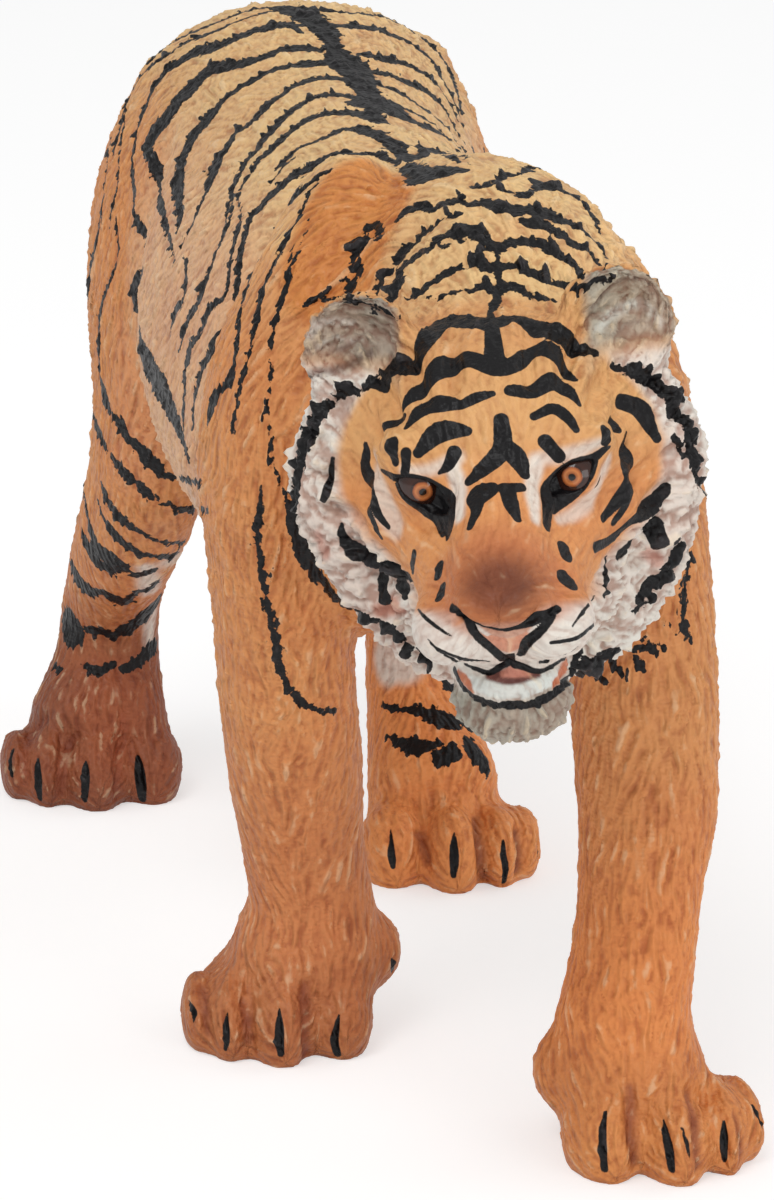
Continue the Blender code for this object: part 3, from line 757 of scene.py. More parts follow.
# Stripes: black paint brushed over the locks, so that it breaks up into dashes on the flanks and
# neck; it is laid on solid and clean-edged on the face. The marks of the flank, of what else shows of
# the body, of the claws and of the clefts between the toes are in the frame's own pixels, those of the
# rump in mm, and those of the head on the enlarged part that crop reads. The claws, the clefts and the
# cut marks round the nose and mouth are carved as well as painted.
flank_marks = [
    [(282, 6, 2), (255, 9, 2), (230, 17, 2), (205, 27, 2), (180, 38, 2), (160, 52, 1.5), (150, 62, 1.5)],
    [
        (285, 10, 2), (262, 13, 2), (235, 22, 2), (210, 33, 2), (190, 40, 2), (170, 53, 2), (150, 66, 2),
        (137, 82, 2), (130, 96, 1.5), (124, 112, 1.5), (118, 135, 1.5), (113, 155, 1.5),
    ],
    [
        (302, 33, 2), (290, 25, 5), (275, 26, 6), (255, 30, 5), (238, 37, 4), (218, 46, 5), (200, 50, 5),
        (185, 58, 4), (165, 72, 4), (152, 90, 3), (146, 105, 3), (140, 120, 2.5), (136, 135, 2),
        (133, 152, 2.5), (132, 170, 2), (134, 192, 2.5), (133, 210, 2), (134, 222, 3), (138, 238, 2),
    ],
    [
        (320, 50, 3), (300, 48, 5), (280, 50, 4), (262, 57, 4), (240, 64, 5), (220, 67, 6), (205, 73, 6),
        (195, 84, 7), (180, 98, 7), (170, 112, 7), (160, 124, 6), (152, 134, 7), (147, 148, 5),
        (150, 162, 5), (152, 182, 4), (158, 198, 5), (162, 210, 4), (165, 222, 4), (168, 234, 3),
        (172, 247, 1.5), (174, 262, 1.5),
    ],
    [
        (330, 62, 4), (310, 64, 5), (295, 65, 4), (280, 68, 3), (265, 73, 3), (250, 82, 3), (235, 90, 3),
        (222, 101, 3), (213, 113, 4), (205, 121, 6), (197, 131, 4), (190, 142, 6), (183, 156, 5),
        (179, 170, 6), (178, 185, 7), (179, 203, 5), (180, 217, 4), (178, 229, 2),
    ],
    [
        (350, 80, 3), (330, 77, 4), (310, 80, 4), (295, 85, 3), (280, 95, 3), (268, 105, 4),
        (258, 115, 4), (248, 125, 3), (237, 130, 3), (230, 142, 3), (225, 150, 5), (217, 160, 5),
        (213, 172, 6), (207, 190, 3), (200, 205, 2), (196, 215, 2), (190, 228, 1.5), (182, 245, 1.5),
    ],
    [
        (362, 100, 3), (345, 95, 4), (325, 95, 4), (308, 100, 3), (295, 108, 4), (283, 118, 3),
        (272, 130, 4), (262, 140, 4), (255, 152, 3), (246, 160, 3), (240, 175, 3), (232, 190, 3),
        (232, 205, 2), (230, 220, 1.5), (224, 235, 2), (217, 250, 2), (212, 262, 3), (208, 275, 3),
        (200, 292, 3), (198, 302, 3), (190, 315, 3), (186, 325, 3), (182, 338, 2),
    ],
    [
        (380, 122, 4), (365, 115, 5), (350, 112, 5), (330, 113, 4), (312, 117, 4), (300, 124, 3),
        (288, 133, 4), (278, 143, 4), (268, 152, 3), (258, 160, 3), (252, 172, 2), (245, 180, 2),
        (238, 198, 2), (240, 215, 2), (238, 228, 3), (232, 250, 2), (228, 275, 2), (224, 295, 2),
        (216, 303, 3), (208, 310, 3), (205, 320, 3), (200, 332, 2), (192, 345, 3), (188, 355, 4),
        (185, 375, 3), (184, 395, 3), (183, 410, 3), (183, 425, 2),
    ],
    [
        (352, 130, 2), (340, 130, 3), (325, 137, 3), (310, 143, 2.5), (295, 150, 2.5), (285, 160, 3),
        (277, 168, 2),
    ],
    [
        (400, 165, 3), (390, 160, 3), (375, 155, 3), (355, 153, 3), (340, 153, 4), (325, 157, 4),
        (315, 163, 4), (305, 170, 4), (292, 175, 4), (282, 185, 4), (270, 195, 4), (262, 205, 4),
        (252, 215, 3), (247, 228, 3), (243, 240, 3), (237, 262, 3), (232, 285, 2.5), (229, 302, 2.5),
        (227, 315, 3), (222, 330, 4), (214, 345, 4), (207, 358, 3), (201, 372, 3), (196, 390, 2.5),
        (193, 405, 2), (193, 425, 2),
    ],
    [
        (330, 170, 1.5), (315, 180, 1.5), (300, 192, 3), (288, 205, 3), (282, 213, 4), (272, 225, 3),
        (265, 238, 3), (258, 255, 3), (252, 270, 2.5), (246, 290, 2), (240, 310, 2.5), (238, 330, 2.5),
        (236, 350, 2), (233, 365, 3), (230, 382, 4), (222, 388, 4), (215, 398, 4), (210, 410, 4),
        (208, 420, 2),
    ],
    [
        (320, 178, 1), (308, 195, 1.5), (300, 215, 2), (290, 230, 2), (284, 245, 2), (275, 262, 2),
        (266, 280, 2.5), (258, 305, 3), (256, 320, 3), (252, 335, 3), (250, 350, 2), (246, 365, 2),
        (242, 380, 2), (238, 398, 2.5), (235, 415, 2), (232, 430, 3),
    ],
    [
        (310, 215, 1), (302, 240, 1.5), (294, 262, 2), (286, 285, 3), (282, 300, 2.5), (278, 315, 2),
        (274, 330, 2), (271, 350, 1.5), (270, 380, 1), (268, 420, 1.5), (270, 445, 1.5), (274, 468, 2),
        (279, 485, 2), (286, 503, 2),
    ],
    [
        (100, 215, 2), (97, 240, 2), (92, 262, 3), (89, 282, 4), (88, 300, 4), (87, 320, 5),
        (86, 340, 4), (87, 365, 2), (90, 385, 2), (92, 405, 2), (96, 425, 3), (102, 440, 3),
        (107, 450, 2),
    ],
    [
        (116, 225, 1.5), (118, 250, 1.5), (112, 275, 1.5), (104, 295, 2), (99, 320, 2.5), (99, 345, 2.5),
        (99, 365, 2.5), (101, 380, 3), (104, 395, 4), (109, 410, 3), (115, 418, 3), (121, 426, 5),
        (129, 440, 4), (138, 448, 6), (147, 458, 7), (157, 468, 7), (166, 476, 5), (180, 478, 2.5),
        (192, 482, 3), (202, 481, 2.5),
    ],
    [
        (112, 458, 3), (120, 468, 4), (130, 478, 4), (142, 488, 5), (152, 498, 4), (160, 503, 2),
        (172, 505, 3), (182, 510, 4), (195, 510, 4), (208, 509, 3),
    ],
    [
        (101, 485, 2), (107, 500, 3), (115, 513, 4), (128, 525, 4), (142, 533, 3), (158, 541, 2),
        (180, 543, 2), (192, 539, 4), (204, 534, 3),
    ],
    [
        (97, 500, 1.5), (103, 518, 2), (115, 535, 4), (130, 548, 4), (148, 555, 2), (165, 557, 3),
        (176, 555, 2),
    ],
    [(85, 500, 2), (88, 520, 3), (93, 538, 4), (97, 550, 5), (108, 558, 7), (120, 566, 6), (128, 566, 3)],
    [(82, 535, 2), (90, 550, 5), (98, 562, 5), (110, 570, 4)],
    [
        (71, 566, 3), (76, 575, 4), (82, 585, 5), (90, 590, 6), (100, 592, 3), (105, 594, 3),
        (115, 598, 4), (124, 602, 5), (132, 596, 4), (140, 590, 2),
    ],
    [(63, 618, 6), (70, 625, 9), (70, 633, 8)],
    [(85, 628, 3), (95, 631, 4), (105, 632, 4), (115, 636, 4), (125, 630, 7), (130, 627, 6)],
    [(55, 666, 3), (60, 670, 4)],
    [(85, 665, 4), (95, 670, 6), (105, 670, 5), (115, 664, 4)],
    [
        (140, 335, 3), (141, 350, 6), (147, 362, 7), (155, 378, 8), (165, 395, 8), (172, 412, 7),
        (180, 430, 5), (184, 445, 3), (190, 455, 2),
    ],
    [(142, 272, 4), (133, 280, 4), (130, 290, 4), (130, 300, 4), (131, 312, 2)],
    [(186, 262, 2), (185, 285, 3), (183, 300, 3), (176, 310, 3), (172, 322, 3), (170, 335, 1.5)],
]
seen_marks = [
    [(126, 110, 1), (122, 135, 1.5), (119, 160, 1), (117, 185, 1.5), (113, 205, 1.2), (109, 228, 1)],
    [(113, 128, 1), (109, 150, 1.2), (106, 175, 1), (103, 200, 1.2), (101, 222, 1)],
    [
        (213, 262, 1), (208, 273, 2), (203, 290, 2.5), (198, 305, 2), (190, 318, 2), (184, 332, 2),
        (179, 350, 1),
    ],
    [(222, 236, 1), (226, 218, 1.5), (229, 200, 1.2), (233, 182, 1), (240, 168, 1.5), (250, 154, 1)],
    [(277, 304, 1), (283, 288, 1.5), (288, 270, 1.5), (292, 250, 1), (297, 232, 1)],
    [(294, 158, 1), (285, 164, 1.5), (277, 174, 1.2), (272, 182, 1)],
    [
        (282, 8, 5), (300, 12, 8), (318, 24, 11), (330, 38, 10), (336, 50, 9), (345, 60, 14),
        (357, 73, 15), (366, 88, 13), (374, 102, 13), (388, 108, 11), (402, 116, 8), (418, 124, 5),
        (436, 130, 4), (452, 142, 3),
    ],
    [(368, 98, 8), (374, 113, 8), (383, 123, 4)],
    [
        (355, 128, 4), (375, 133, 6), (390, 143, 7), (402, 155, 7), (408, 165, 8), (420, 172, 10),
        (440, 172, 8), (465, 170, 3),
    ],
    [(400, 165, 4), (408, 178, 4), (420, 184, 3)],
    [(405, 162, 6), (418, 156, 4), (428, 150, 5), (445, 153, 4), (460, 162, 3)],
    [
        (318, 10, 2), (340, 12, 2), (365, 14, 2), (385, 17, 3), (400, 21, 3), (410, 30, 3), (425, 40, 3),
        (437, 52, 3), (447, 65, 2.5), (453, 80, 2), (458, 95, 1.5), (462, 115, 1),
    ],
    [
        (338, 25, 4), (355, 26, 5), (372, 28, 4), (390, 34, 4), (405, 40, 3), (420, 50, 3), (432, 60, 3),
        (440, 75, 2), (450, 92, 2), (458, 110, 1.5), (464, 130, 1),
    ],
    [
        (362, 55, 3), (385, 59, 4), (400, 62, 3), (415, 68, 3), (428, 76, 3), (440, 88, 2),
        (450, 103, 2), (458, 120, 1.5),
    ],
    [
        (375, 72, 4), (390, 75, 3), (405, 81, 4), (420, 87, 4), (432, 95, 4), (442, 105, 2),
        (452, 122, 2), (460, 140, 1),
    ],
    [(375, 83, 3), (390, 88, 3), (405, 96, 3), (420, 106, 3), (435, 116, 2), (448, 130, 1.5), (460, 147, 1)],
    [(385, 100, 5), (400, 106, 4), (415, 113, 3), (430, 122, 3), (445, 135, 2), (460, 152, 2), (470, 165, 1)],
    [
        (470, 186, 2), (482, 187, 3), (492, 183, 3), (500, 178, 4), (508, 174, 3), (518, 174, 2),
        (527, 169, 4), (537, 168, 4), (548, 172, 2), (554, 174, 1),
    ],
    [
        (503, 190, 2), (512, 192, 2), (520, 196, 3), (530, 192, 4), (540, 185, 6), (552, 186, 6),
        (562, 190, 4), (572, 194, 3), (580, 200, 3), (588, 210, 3), (594, 217, 2.5), (601, 227, 2),
        (606, 232, 1),
    ],
    [
        (400, 216, 3), (410, 208, 3), (420, 206, 5), (433, 207, 3), (447, 202, 4), (458, 200, 4),
        (470, 204, 3), (485, 202, 5), (497, 206, 5), (510, 210, 6), (518, 213, 4),
    ],
    [
        (518, 208, 4), (530, 210, 5), (543, 212, 7), (553, 217, 5), (565, 220, 4), (575, 224, 5),
        (585, 230, 4), (595, 238, 2.5), (602, 247, 2), (607, 256, 2),
    ],
    [
        (522, 221, 3), (535, 224, 5), (545, 225, 5), (553, 230, 3), (561, 233, 5), (568, 240, 4),
        (577, 246, 4), (588, 250, 3), (597, 260, 2.5), (602, 270, 4), (606, 276, 2),
    ],
    [(412, 234, 3), (420, 226, 4), (432, 223, 2), (440, 217, 2), (448, 216, 3), (460, 214, 2)],
    [(352, 262, 3), (358, 268, 6), (360, 274, 3)],
    [(355, 255, 4), (358, 246, 7), (366, 242, 5), (370, 240, 2)],
    [(363, 231, 2), (370, 226, 4), (377, 226, 6), (382, 236, 4)],
    [(392, 262, 3), (394, 250, 5), (401, 243, 5)],
    [(405, 262, 3), (415, 255, 3), (428, 250, 3), (437, 238, 5), (440, 245, 4), (448, 245, 3)],
    [(452, 232, 7), (460, 234, 7), (462, 242, 3)],
    [
        (472, 230, 4), (480, 234, 9), (487, 243, 6), (497, 246, 7), (510, 243, 5), (525, 241, 5),
        (540, 244, 5), (552, 250, 6), (562, 257, 4), (573, 263, 4), (580, 272, 4), (585, 278, 3),
    ],
    [(553, 240, 2), (558, 248, 3), (562, 256, 3)],
    [
        (499, 246, 4), (498, 258, 4), (498, 268, 6), (499, 280, 5), (499, 290, 7), (497, 302, 6),
        (491, 312, 3), (490, 318, 3),
    ],
    [
        (470, 266, 3), (478, 261, 7), (488, 266, 7), (497, 268, 5), (515, 266, 4), (528, 271, 5),
        (540, 276, 5), (552, 283, 3), (565, 286, 4), (578, 290, 3),
    ],
    [(458, 268, 4), (447, 272, 5), (437, 279, 4), (428, 285, 4), (420, 292, 3), (412, 297, 3)],
    [(420, 250, 3), (412, 260, 3), (400, 268, 4), (397, 282, 6), (392, 295, 5), (388, 303, 2)],
    [(373, 279, 4), (380, 272, 4), (385, 268, 2)],
    [(350, 287, 5), (345, 296, 4)],
    [(367, 299, 2), (370, 291, 2)],
    [(497, 288, 6), (512, 286, 5), (522, 290, 5), (533, 296, 4), (545, 299, 3), (555, 301, 2)],
    [
        (495, 290, 6), (482, 285, 4), (478, 290, 3), (465, 290, 2), (450, 293, 2), (438, 299, 2),
        (428, 299, 1.5),
    ],
    [(582, 288, 5), (592, 282, 5), (605, 278, 3)],
    [(133, 622, 3), (142, 618, 6), (150, 610, 7), (157, 600, 4)],
    [(146, 590, 3), (152, 587, 3), (157, 582, 2)],
    [(130, 576, 2), (142, 574, 3), (155, 570, 2)],
    [(122, 668, 4), (130, 668, 6), (140, 660, 6), (150, 650, 7), (157, 642, 4)],
    [(182, 570, 1.5), (195, 580, 3), (207, 585, 5)],
    [
        (261, 490, 3), (259, 505, 4), (258, 520, 4), (257, 535, 4), (258, 552, 4), (262, 570, 4),
        (264, 590, 4), (268, 610, 5), (273, 628, 5), (277, 648, 4), (282, 668, 4), (289, 686, 4),
        (302, 702, 4), (318, 710, 4), (336, 711, 3),
    ],
    [(383, 705, 4), (395, 709, 5), (412, 710, 5), (425, 714, 6), (438, 718, 9), (450, 722, 7), (458, 726, 3)],
    [(388, 737, 3), (400, 742, 6), (415, 746, 9), (430, 746, 6), (440, 742, 4)],
    [(436, 757, 6), (445, 752, 7), (455, 754, 8), (440, 764, 4)],
    [(470, 743, 6), (476, 752, 8), (484, 762, 7)],
    [(584, 662, 6), (585, 672, 6)],
    [(600, 662, 6), (608, 658, 6), (615, 664, 6), (622, 674, 4)],
    [(602, 680, 6), (610, 684, 3)],
    [(632, 652, 3), (638, 647, 5), (646, 647, 5), (655, 652, 3)],
    [(636, 658, 4), (642, 668, 4), (646, 673, 2)],
    [(658, 640, 2), (664, 648, 3)],
    [(671, 624, 2), (676, 634, 3)],
    [(687, 560, 3), (686, 580, 3), (684, 600, 4), (683, 616, 4), (686, 630, 4), (690, 642, 3)],
]
rear_marks = [
    [(-4, 50, 0.3), (-8, 48, 0.5), (-11.5, 45, 0.3)],
    [(-3.5, 44, 0.3), (-8, 42, 0.6), (-12, 39.5, 0.3)],
    [(-4, 38, 0.3), (-8, 36, 0.6), (-12.5, 33, 0.3)],
    [(-5, 32, 0.3), (-9, 29.5, 0.6), (-13, 27.5, 0.3)],
    [(-6.5, 26, 0.3), (-10, 24.5, 0.5), (-13.5, 23, 0.3)],
    [(-7, 19.5, 0.3), (-10.5, 18.5, 0.5), (-14, 18, 0.3)],
    [(-7.5, 13.5, 0.3), (-10.5, 13, 0.5), (-14, 12.5, 0.3)],
]
head_marks = [
    [
        (320, 362, 14), (360, 355, 20), (400, 305, 30), (440, 300, 28), (480, 255, 26), (550, 170, 32),
        (640, 165, 30), (700, 170, 30), (790, 155, 22), (880, 190, 28), (960, 225, 28), (1030, 258, 18),
    ],
    [(705, 130, 10), (712, 200, 26), (722, 300, 34)],
    [
        (420, 440, 8), (480, 365, 26), (560, 298, 32), (640, 285, 26), (720, 312, 28), (780, 300, 26),
        (840, 248, 20), (910, 262, 26), (980, 345, 8),
    ],
    [(435, 505, 6), (490, 440, 26), (560, 425, 28), (610, 430, 16), (660, 408, 18), (712, 396, 10)],
    [(770, 385, 18), (840, 382, 28), (905, 350, 28), (950, 370, 20), (990, 428, 8)],
    [(475, 585, 18), (530, 525, 34), (580, 512, 30), (630, 515, 16)],
    [(845, 468, 14), (905, 443, 18), (950, 470, 18), (980, 512, 12)],
    [(740, 480, 26), (742, 570, 32), (690, 630, 26), (640, 675, 14)],
    [(745, 560, 26), (790, 600, 32), (815, 655, 16)],
    [(705, 700, 22), (665, 725, 32), (660, 770, 18), (640, 825, 8)],
    [(750, 698, 18), (805, 695, 14)],
    [(760, 705, 26), (772, 750, 24), (792, 798, 12)],
    [(385, 560, 24), (390, 615, 14)],
    [(435, 585, 18), (428, 645, 16)],
    [(590, 585, 24), (570, 625, 18), (540, 650, 6)],
    [(355, 505, 12), (420, 468, 12)],
    [(880, 548, 24), (925, 598, 22)],
    [(1075, 515, 14), (1080, 545, 14)],
    [(1120, 475, 14), (1122, 500, 14)],
    [(1140, 412, 16), (1190, 455, 26), (1238, 540, 14)],
    [(1165, 520, 8), (1155, 600, 30), (1160, 670, 26), (1110, 740, 20), (1065, 795, 12)],
    [(1178, 660, 12), (1140, 750, 12), (1100, 808, 10)],
    [(1275, 700, 16), (1220, 770, 18), (1160, 815, 14), (1090, 865, 14), (1040, 888, 18)],
    [(1235, 825, 28), (1240, 868, 28)],
    [(1160, 880, 12), (1130, 915, 14)],
    [(938, 885, 16), (948, 915, 16)],
    [(940, 985, 20), (960, 1002, 20)],
    [(543, 945, 12), (538, 978, 12)],
    [(552, 1015, 12), (545, 1045, 14)],
    [(290, 555, 6), (290, 640, 14), (310, 700, 20), (345, 780, 14), (378, 822, 8)],
    [(288, 720, 6), (320, 790, 10), (352, 860, 6)],
    [(225, 818, 8), (238, 880, 18), (290, 915, 16), (370, 955, 20), (450, 985, 14)],
    [(460, 915, 14), (455, 950, 16)],
    [(352, 965, 12), (365, 1055, 18)],
    [(408, 1000, 18), (425, 1030, 18)],
    [(1082, 930, 8), (1075, 1040, 8)],
    [(200, 600, 8), (185, 700, 14), (170, 740, 8)],
]
thin_marks = [
    [(912, 738, 7), (930, 722, 9), (950, 708, 6)],
    [(465, 1075, 3), (500, 1115, 6), (545, 1150, 6), (580, 1172, 3)],
    [(500, 1175, 2), (540, 1215, 5), (620, 1245, 6), (700, 1252, 4)],
    [(545, 1225, 3), (600, 1262, 4), (680, 1285, 4)],
    [(1040, 1045, 3), (1000, 1095, 6), (968, 1140, 3)],
    [(1035, 1135, 4), (980, 1178, 7), (900, 1192, 5)],
]
cut_marks = [
    [(1000, 1225, 4), (930, 1240, 6), (870, 1258, 4)],
    [
        (575, 1080, 14), (610, 1118, 14), (660, 1142, 9), (740, 1160, 8), (820, 1147, 9),
        (880, 1112, 14), (925, 1080, 14),
    ],
    [(600, 1118, 8), (660, 1172, 12), (710, 1215, 14), (752, 1252, 14)],
    [(915, 1098, 10), (872, 1152, 14), (822, 1192, 18), (802, 1238, 12)],
    [(772, 1238, 12), (772, 1265, 14)],
    [
        (560, 1240, 5), (640, 1276, 6), (700, 1290, 8), (745, 1268, 10), (775, 1264, 10),
        (810, 1272, 10), (870, 1285, 8), (930, 1255, 6), (985, 1215, 6),
    ],
]
lip_and_lid_marks = [
    [
        (590, 1280, 8), (618, 1335, 10), (675, 1380, 13), (760, 1393, 13), (850, 1386, 15),
        (915, 1352, 14), (962, 1295, 13), (988, 1220, 10),
    ],
    [
        (355, 640, 4), (400, 666, 13), (450, 666, 14), (505, 680, 16), (545, 712, 20), (568, 757, 26),
        (575, 810, 24), (570, 850, 12),
    ],
    [(402, 676, 8), (430, 727, 12), (480, 765, 14), (530, 790, 20), (560, 832, 22)],
    [
        (1088, 568, 5), (1040, 602, 13), (985, 614, 14), (938, 642, 18), (903, 690, 24), (890, 750, 20),
        (885, 818, 14),
    ],
    [(1045, 612, 8), (1025, 662, 10), (990, 708, 12), (945, 738, 16), (905, 765, 18)],
]
ruff_marks = [
    [
        (240, 372, 14), (205, 410, 18), (165, 440, 30), (120, 500, 34), (92, 590, 34), (78, 680, 32),
        (75, 770, 30), (90, 860, 22), (125, 960, 24), (190, 1030, 26), (260, 1090, 22), (340, 1130, 18),
        (400, 1170, 26), (440, 1210, 22),
    ],
    [
        (1100, 300, 14), (1180, 330, 28), (1260, 380, 30), (1320, 450, 44), (1360, 540, 40),
        (1370, 640, 26), (1400, 720, 16), (1405, 800, 20),
    ],
    [(1310, 880, 16), (1300, 920, 26), (1270, 980, 34), (1210, 1020, 28), (1180, 1090, 18)],
    [(1300, 540, 14), (1330, 600, 14)],
    [(480, 1215, 20), (500, 1260, 20)],
    [(560, 1335, 8), (590, 1330, 10)],
    [(110, 118, 5), (160, 98, 8), (230, 92, 9), (300, 108, 12), (360, 135, 16), (415, 160, 10)],
    [(150, 405, 12), (230, 400, 16), (300, 372, 14), (350, 330, 10)],
]
claw_marks = [
    [(36, 757, 1), (37, 768, 3.5), (38, 785, 4), (39, 799, 2.5)],
    [(84, 760, 1), (85, 770, 4), (85, 785, 4.5), (84, 800, 3)],
    [(137, 756, 2), (139, 768, 5), (141, 785, 5.5), (142, 800, 4)],
    [(12, 748, 1), (9, 760, 2), (11, 775, 2)],
    [(390, 828, 1), (391, 845, 3), (392, 858, 4), (393, 867, 3)],
    [(454, 831, 1), (454, 845, 4), (454, 862, 5), (453, 877, 3)],
    [(503, 840, 2), (504, 855, 3.5), (506, 870, 3.5), (504, 884, 2.5)],
    [(537, 833, 1), (539, 850, 1.5), (538, 865, 1)],
    [(188, 1003, 2), (193, 1012, 2.5), (191, 1022, 1)],
    [(226, 1012, 1), (225, 1025, 3.5), (226, 1040, 3.5), (224, 1050, 2.5)],
    [(279, 1008, 1), (279, 1025, 4.5), (279, 1042, 5), (281, 1055, 3.5)],
    [(339, 1014, 1), (336, 1028, 3.5), (334, 1042, 4.5), (337, 1055, 4)],
    [(393, 960, 1.5), (394, 970, 4), (392, 981, 2)],
    [(605, 1111, 2), (603, 1125, 3.5), (602, 1145, 4.5), (604, 1170, 4)],
    [(662, 1119, 1), (665, 1135, 4), (669, 1152, 5), (671, 1170, 4)],
    [(682, 1128, 1.5), (688, 1145, 2.5), (691, 1158, 2)],
    [(723, 1119, 1.5), (724, 1135, 4), (724, 1148, 4), (724, 1162, 2.5)],
    [(754, 1105, 2), (762, 1122, 3), (765, 1138, 3), (762, 1152, 2)],
]
cleft_marks = [
    [(44, 718, 3), (30, 735, 4), (24, 755, 4), (23, 785, 3)],
    [(72, 738, 3), (64, 755, 5), (62, 775, 5), (60, 795, 4)],
    [(124, 712, 3), (124, 735, 5), (118, 760, 6), (118, 795, 5)],
    [(420, 832, 4), (424, 848, 4), (427, 862, 3)],
    [(476, 815, 2), (479, 840, 4), (482, 865, 4), (483, 882, 3)],
    [(518, 830, 2), (520, 850, 3), (519, 872, 3)],
    [(203, 985, 3), (204, 1010, 3), (206, 1035, 2)],
    [(243, 1000, 2), (247, 1020, 4), (248, 1045, 3)],
    [(305, 985, 3), (306, 1005, 5), (306, 1030, 5), (307, 1055, 4)],
    [(630, 1088, 4), (632, 1110, 5), (632, 1135, 5), (636, 1165, 4)],
    [(690, 1095, 3), (696, 1120, 5), (698, 1150, 4), (700, 1168, 3)],
    [(738, 1115, 2), (742, 1135, 3), (744, 1158, 3)],
]
right_flank = [traced(rows) for rows in flank_marks]
clean_marks = head_marks + thin_marks + cut_marks + lip_and_lid_marks
clean_lines = [traced(crop(rows), 1.6) for rows in clean_marks]
ragged_lines = right_flank + [repeated(line) for line in right_flank]
ragged_lines += [traced(crop(rows), 1.1) for rows in ruff_marks] + [traced(rows) for rows in seen_marks]
for rows in rear_marks:
    ragged_lines.append(from_behind(rows))
    ragged_lines.append(from_behind([(-x, z + 1.5, half) for x, z, half in rows]))
tail_line = spline([row[:3] for row in TAIL[1:]], 8)
claw_lines = [traced(rows, 1.6) for rows in claw_marks]
clean_lines += claw_lines
strokes += [(line[:, :3], 0.22, -0.22) for line in claw_lines if len(line)]
cleft_lines = [traced(rows, 1.6) for rows in cleft_marks]
strokes += [(line[:, :3], 0.5, -0.3) for line in cleft_lines if len(line)]
strokes += [(traced(crop(rows))[:, :3], 0.26, -0.2) for rows in cut_marks]
eye_openings = [
    traced(crop([(400, 674, 4), (440, 700, 30), (495, 722, 40), (540, 748, 24), (562, 768, 5)])),
    traced(crop([(912, 715, 5), (935, 688, 30), (975, 665, 44), (1010, 636, 22), (1038, 612, 4)])),
]

# Coat: orange, sandier where the back faces up, partly the paint's own tone and partly painted light
# from above; browner on the legs, lighter on the left legs, which is painted light, and darker on the
# lower right hind leg, which is painted shade; off-white on the cheeks, chin, belly and inner legs.
# Each further colour is laid on along lines with a soft edge.


def colour(red, green, blue):
    """sRGB 0 to 255 as the linear values that shaders take."""
    c = np.array((red, green, blue)) / 255
    return np.where(c <= 0.04045, c / 12.92, ((c + 0.055) / 1.055) ** 2.4)


ORANGE = colour(220, 150, 92)
SAND_AND_TOP_LIGHT = colour(236, 198, 140)
FAWN = colour(230, 184, 142)
BROW = colour(220, 166, 108)
RUST = colour(206, 132, 82)
# Amber and ochre: the lighter colours of the left legs and paws, painted light.
LIT_AMBER = colour(232, 146, 82)
TAN = colour(176, 108, 66)
LIT_OCHRE = colour(216, 140, 80)
# Umber: the darker colour of the lower right hind leg, painted shade.
SHADE_UMBER = colour(142, 82, 55)
CREAM = colour(230, 225, 215)
GREY = colour(172, 168, 154)
WHITE = colour(222, 228, 222)
ASH = colour(206, 202, 192)
LIP = colour(198, 112, 72)

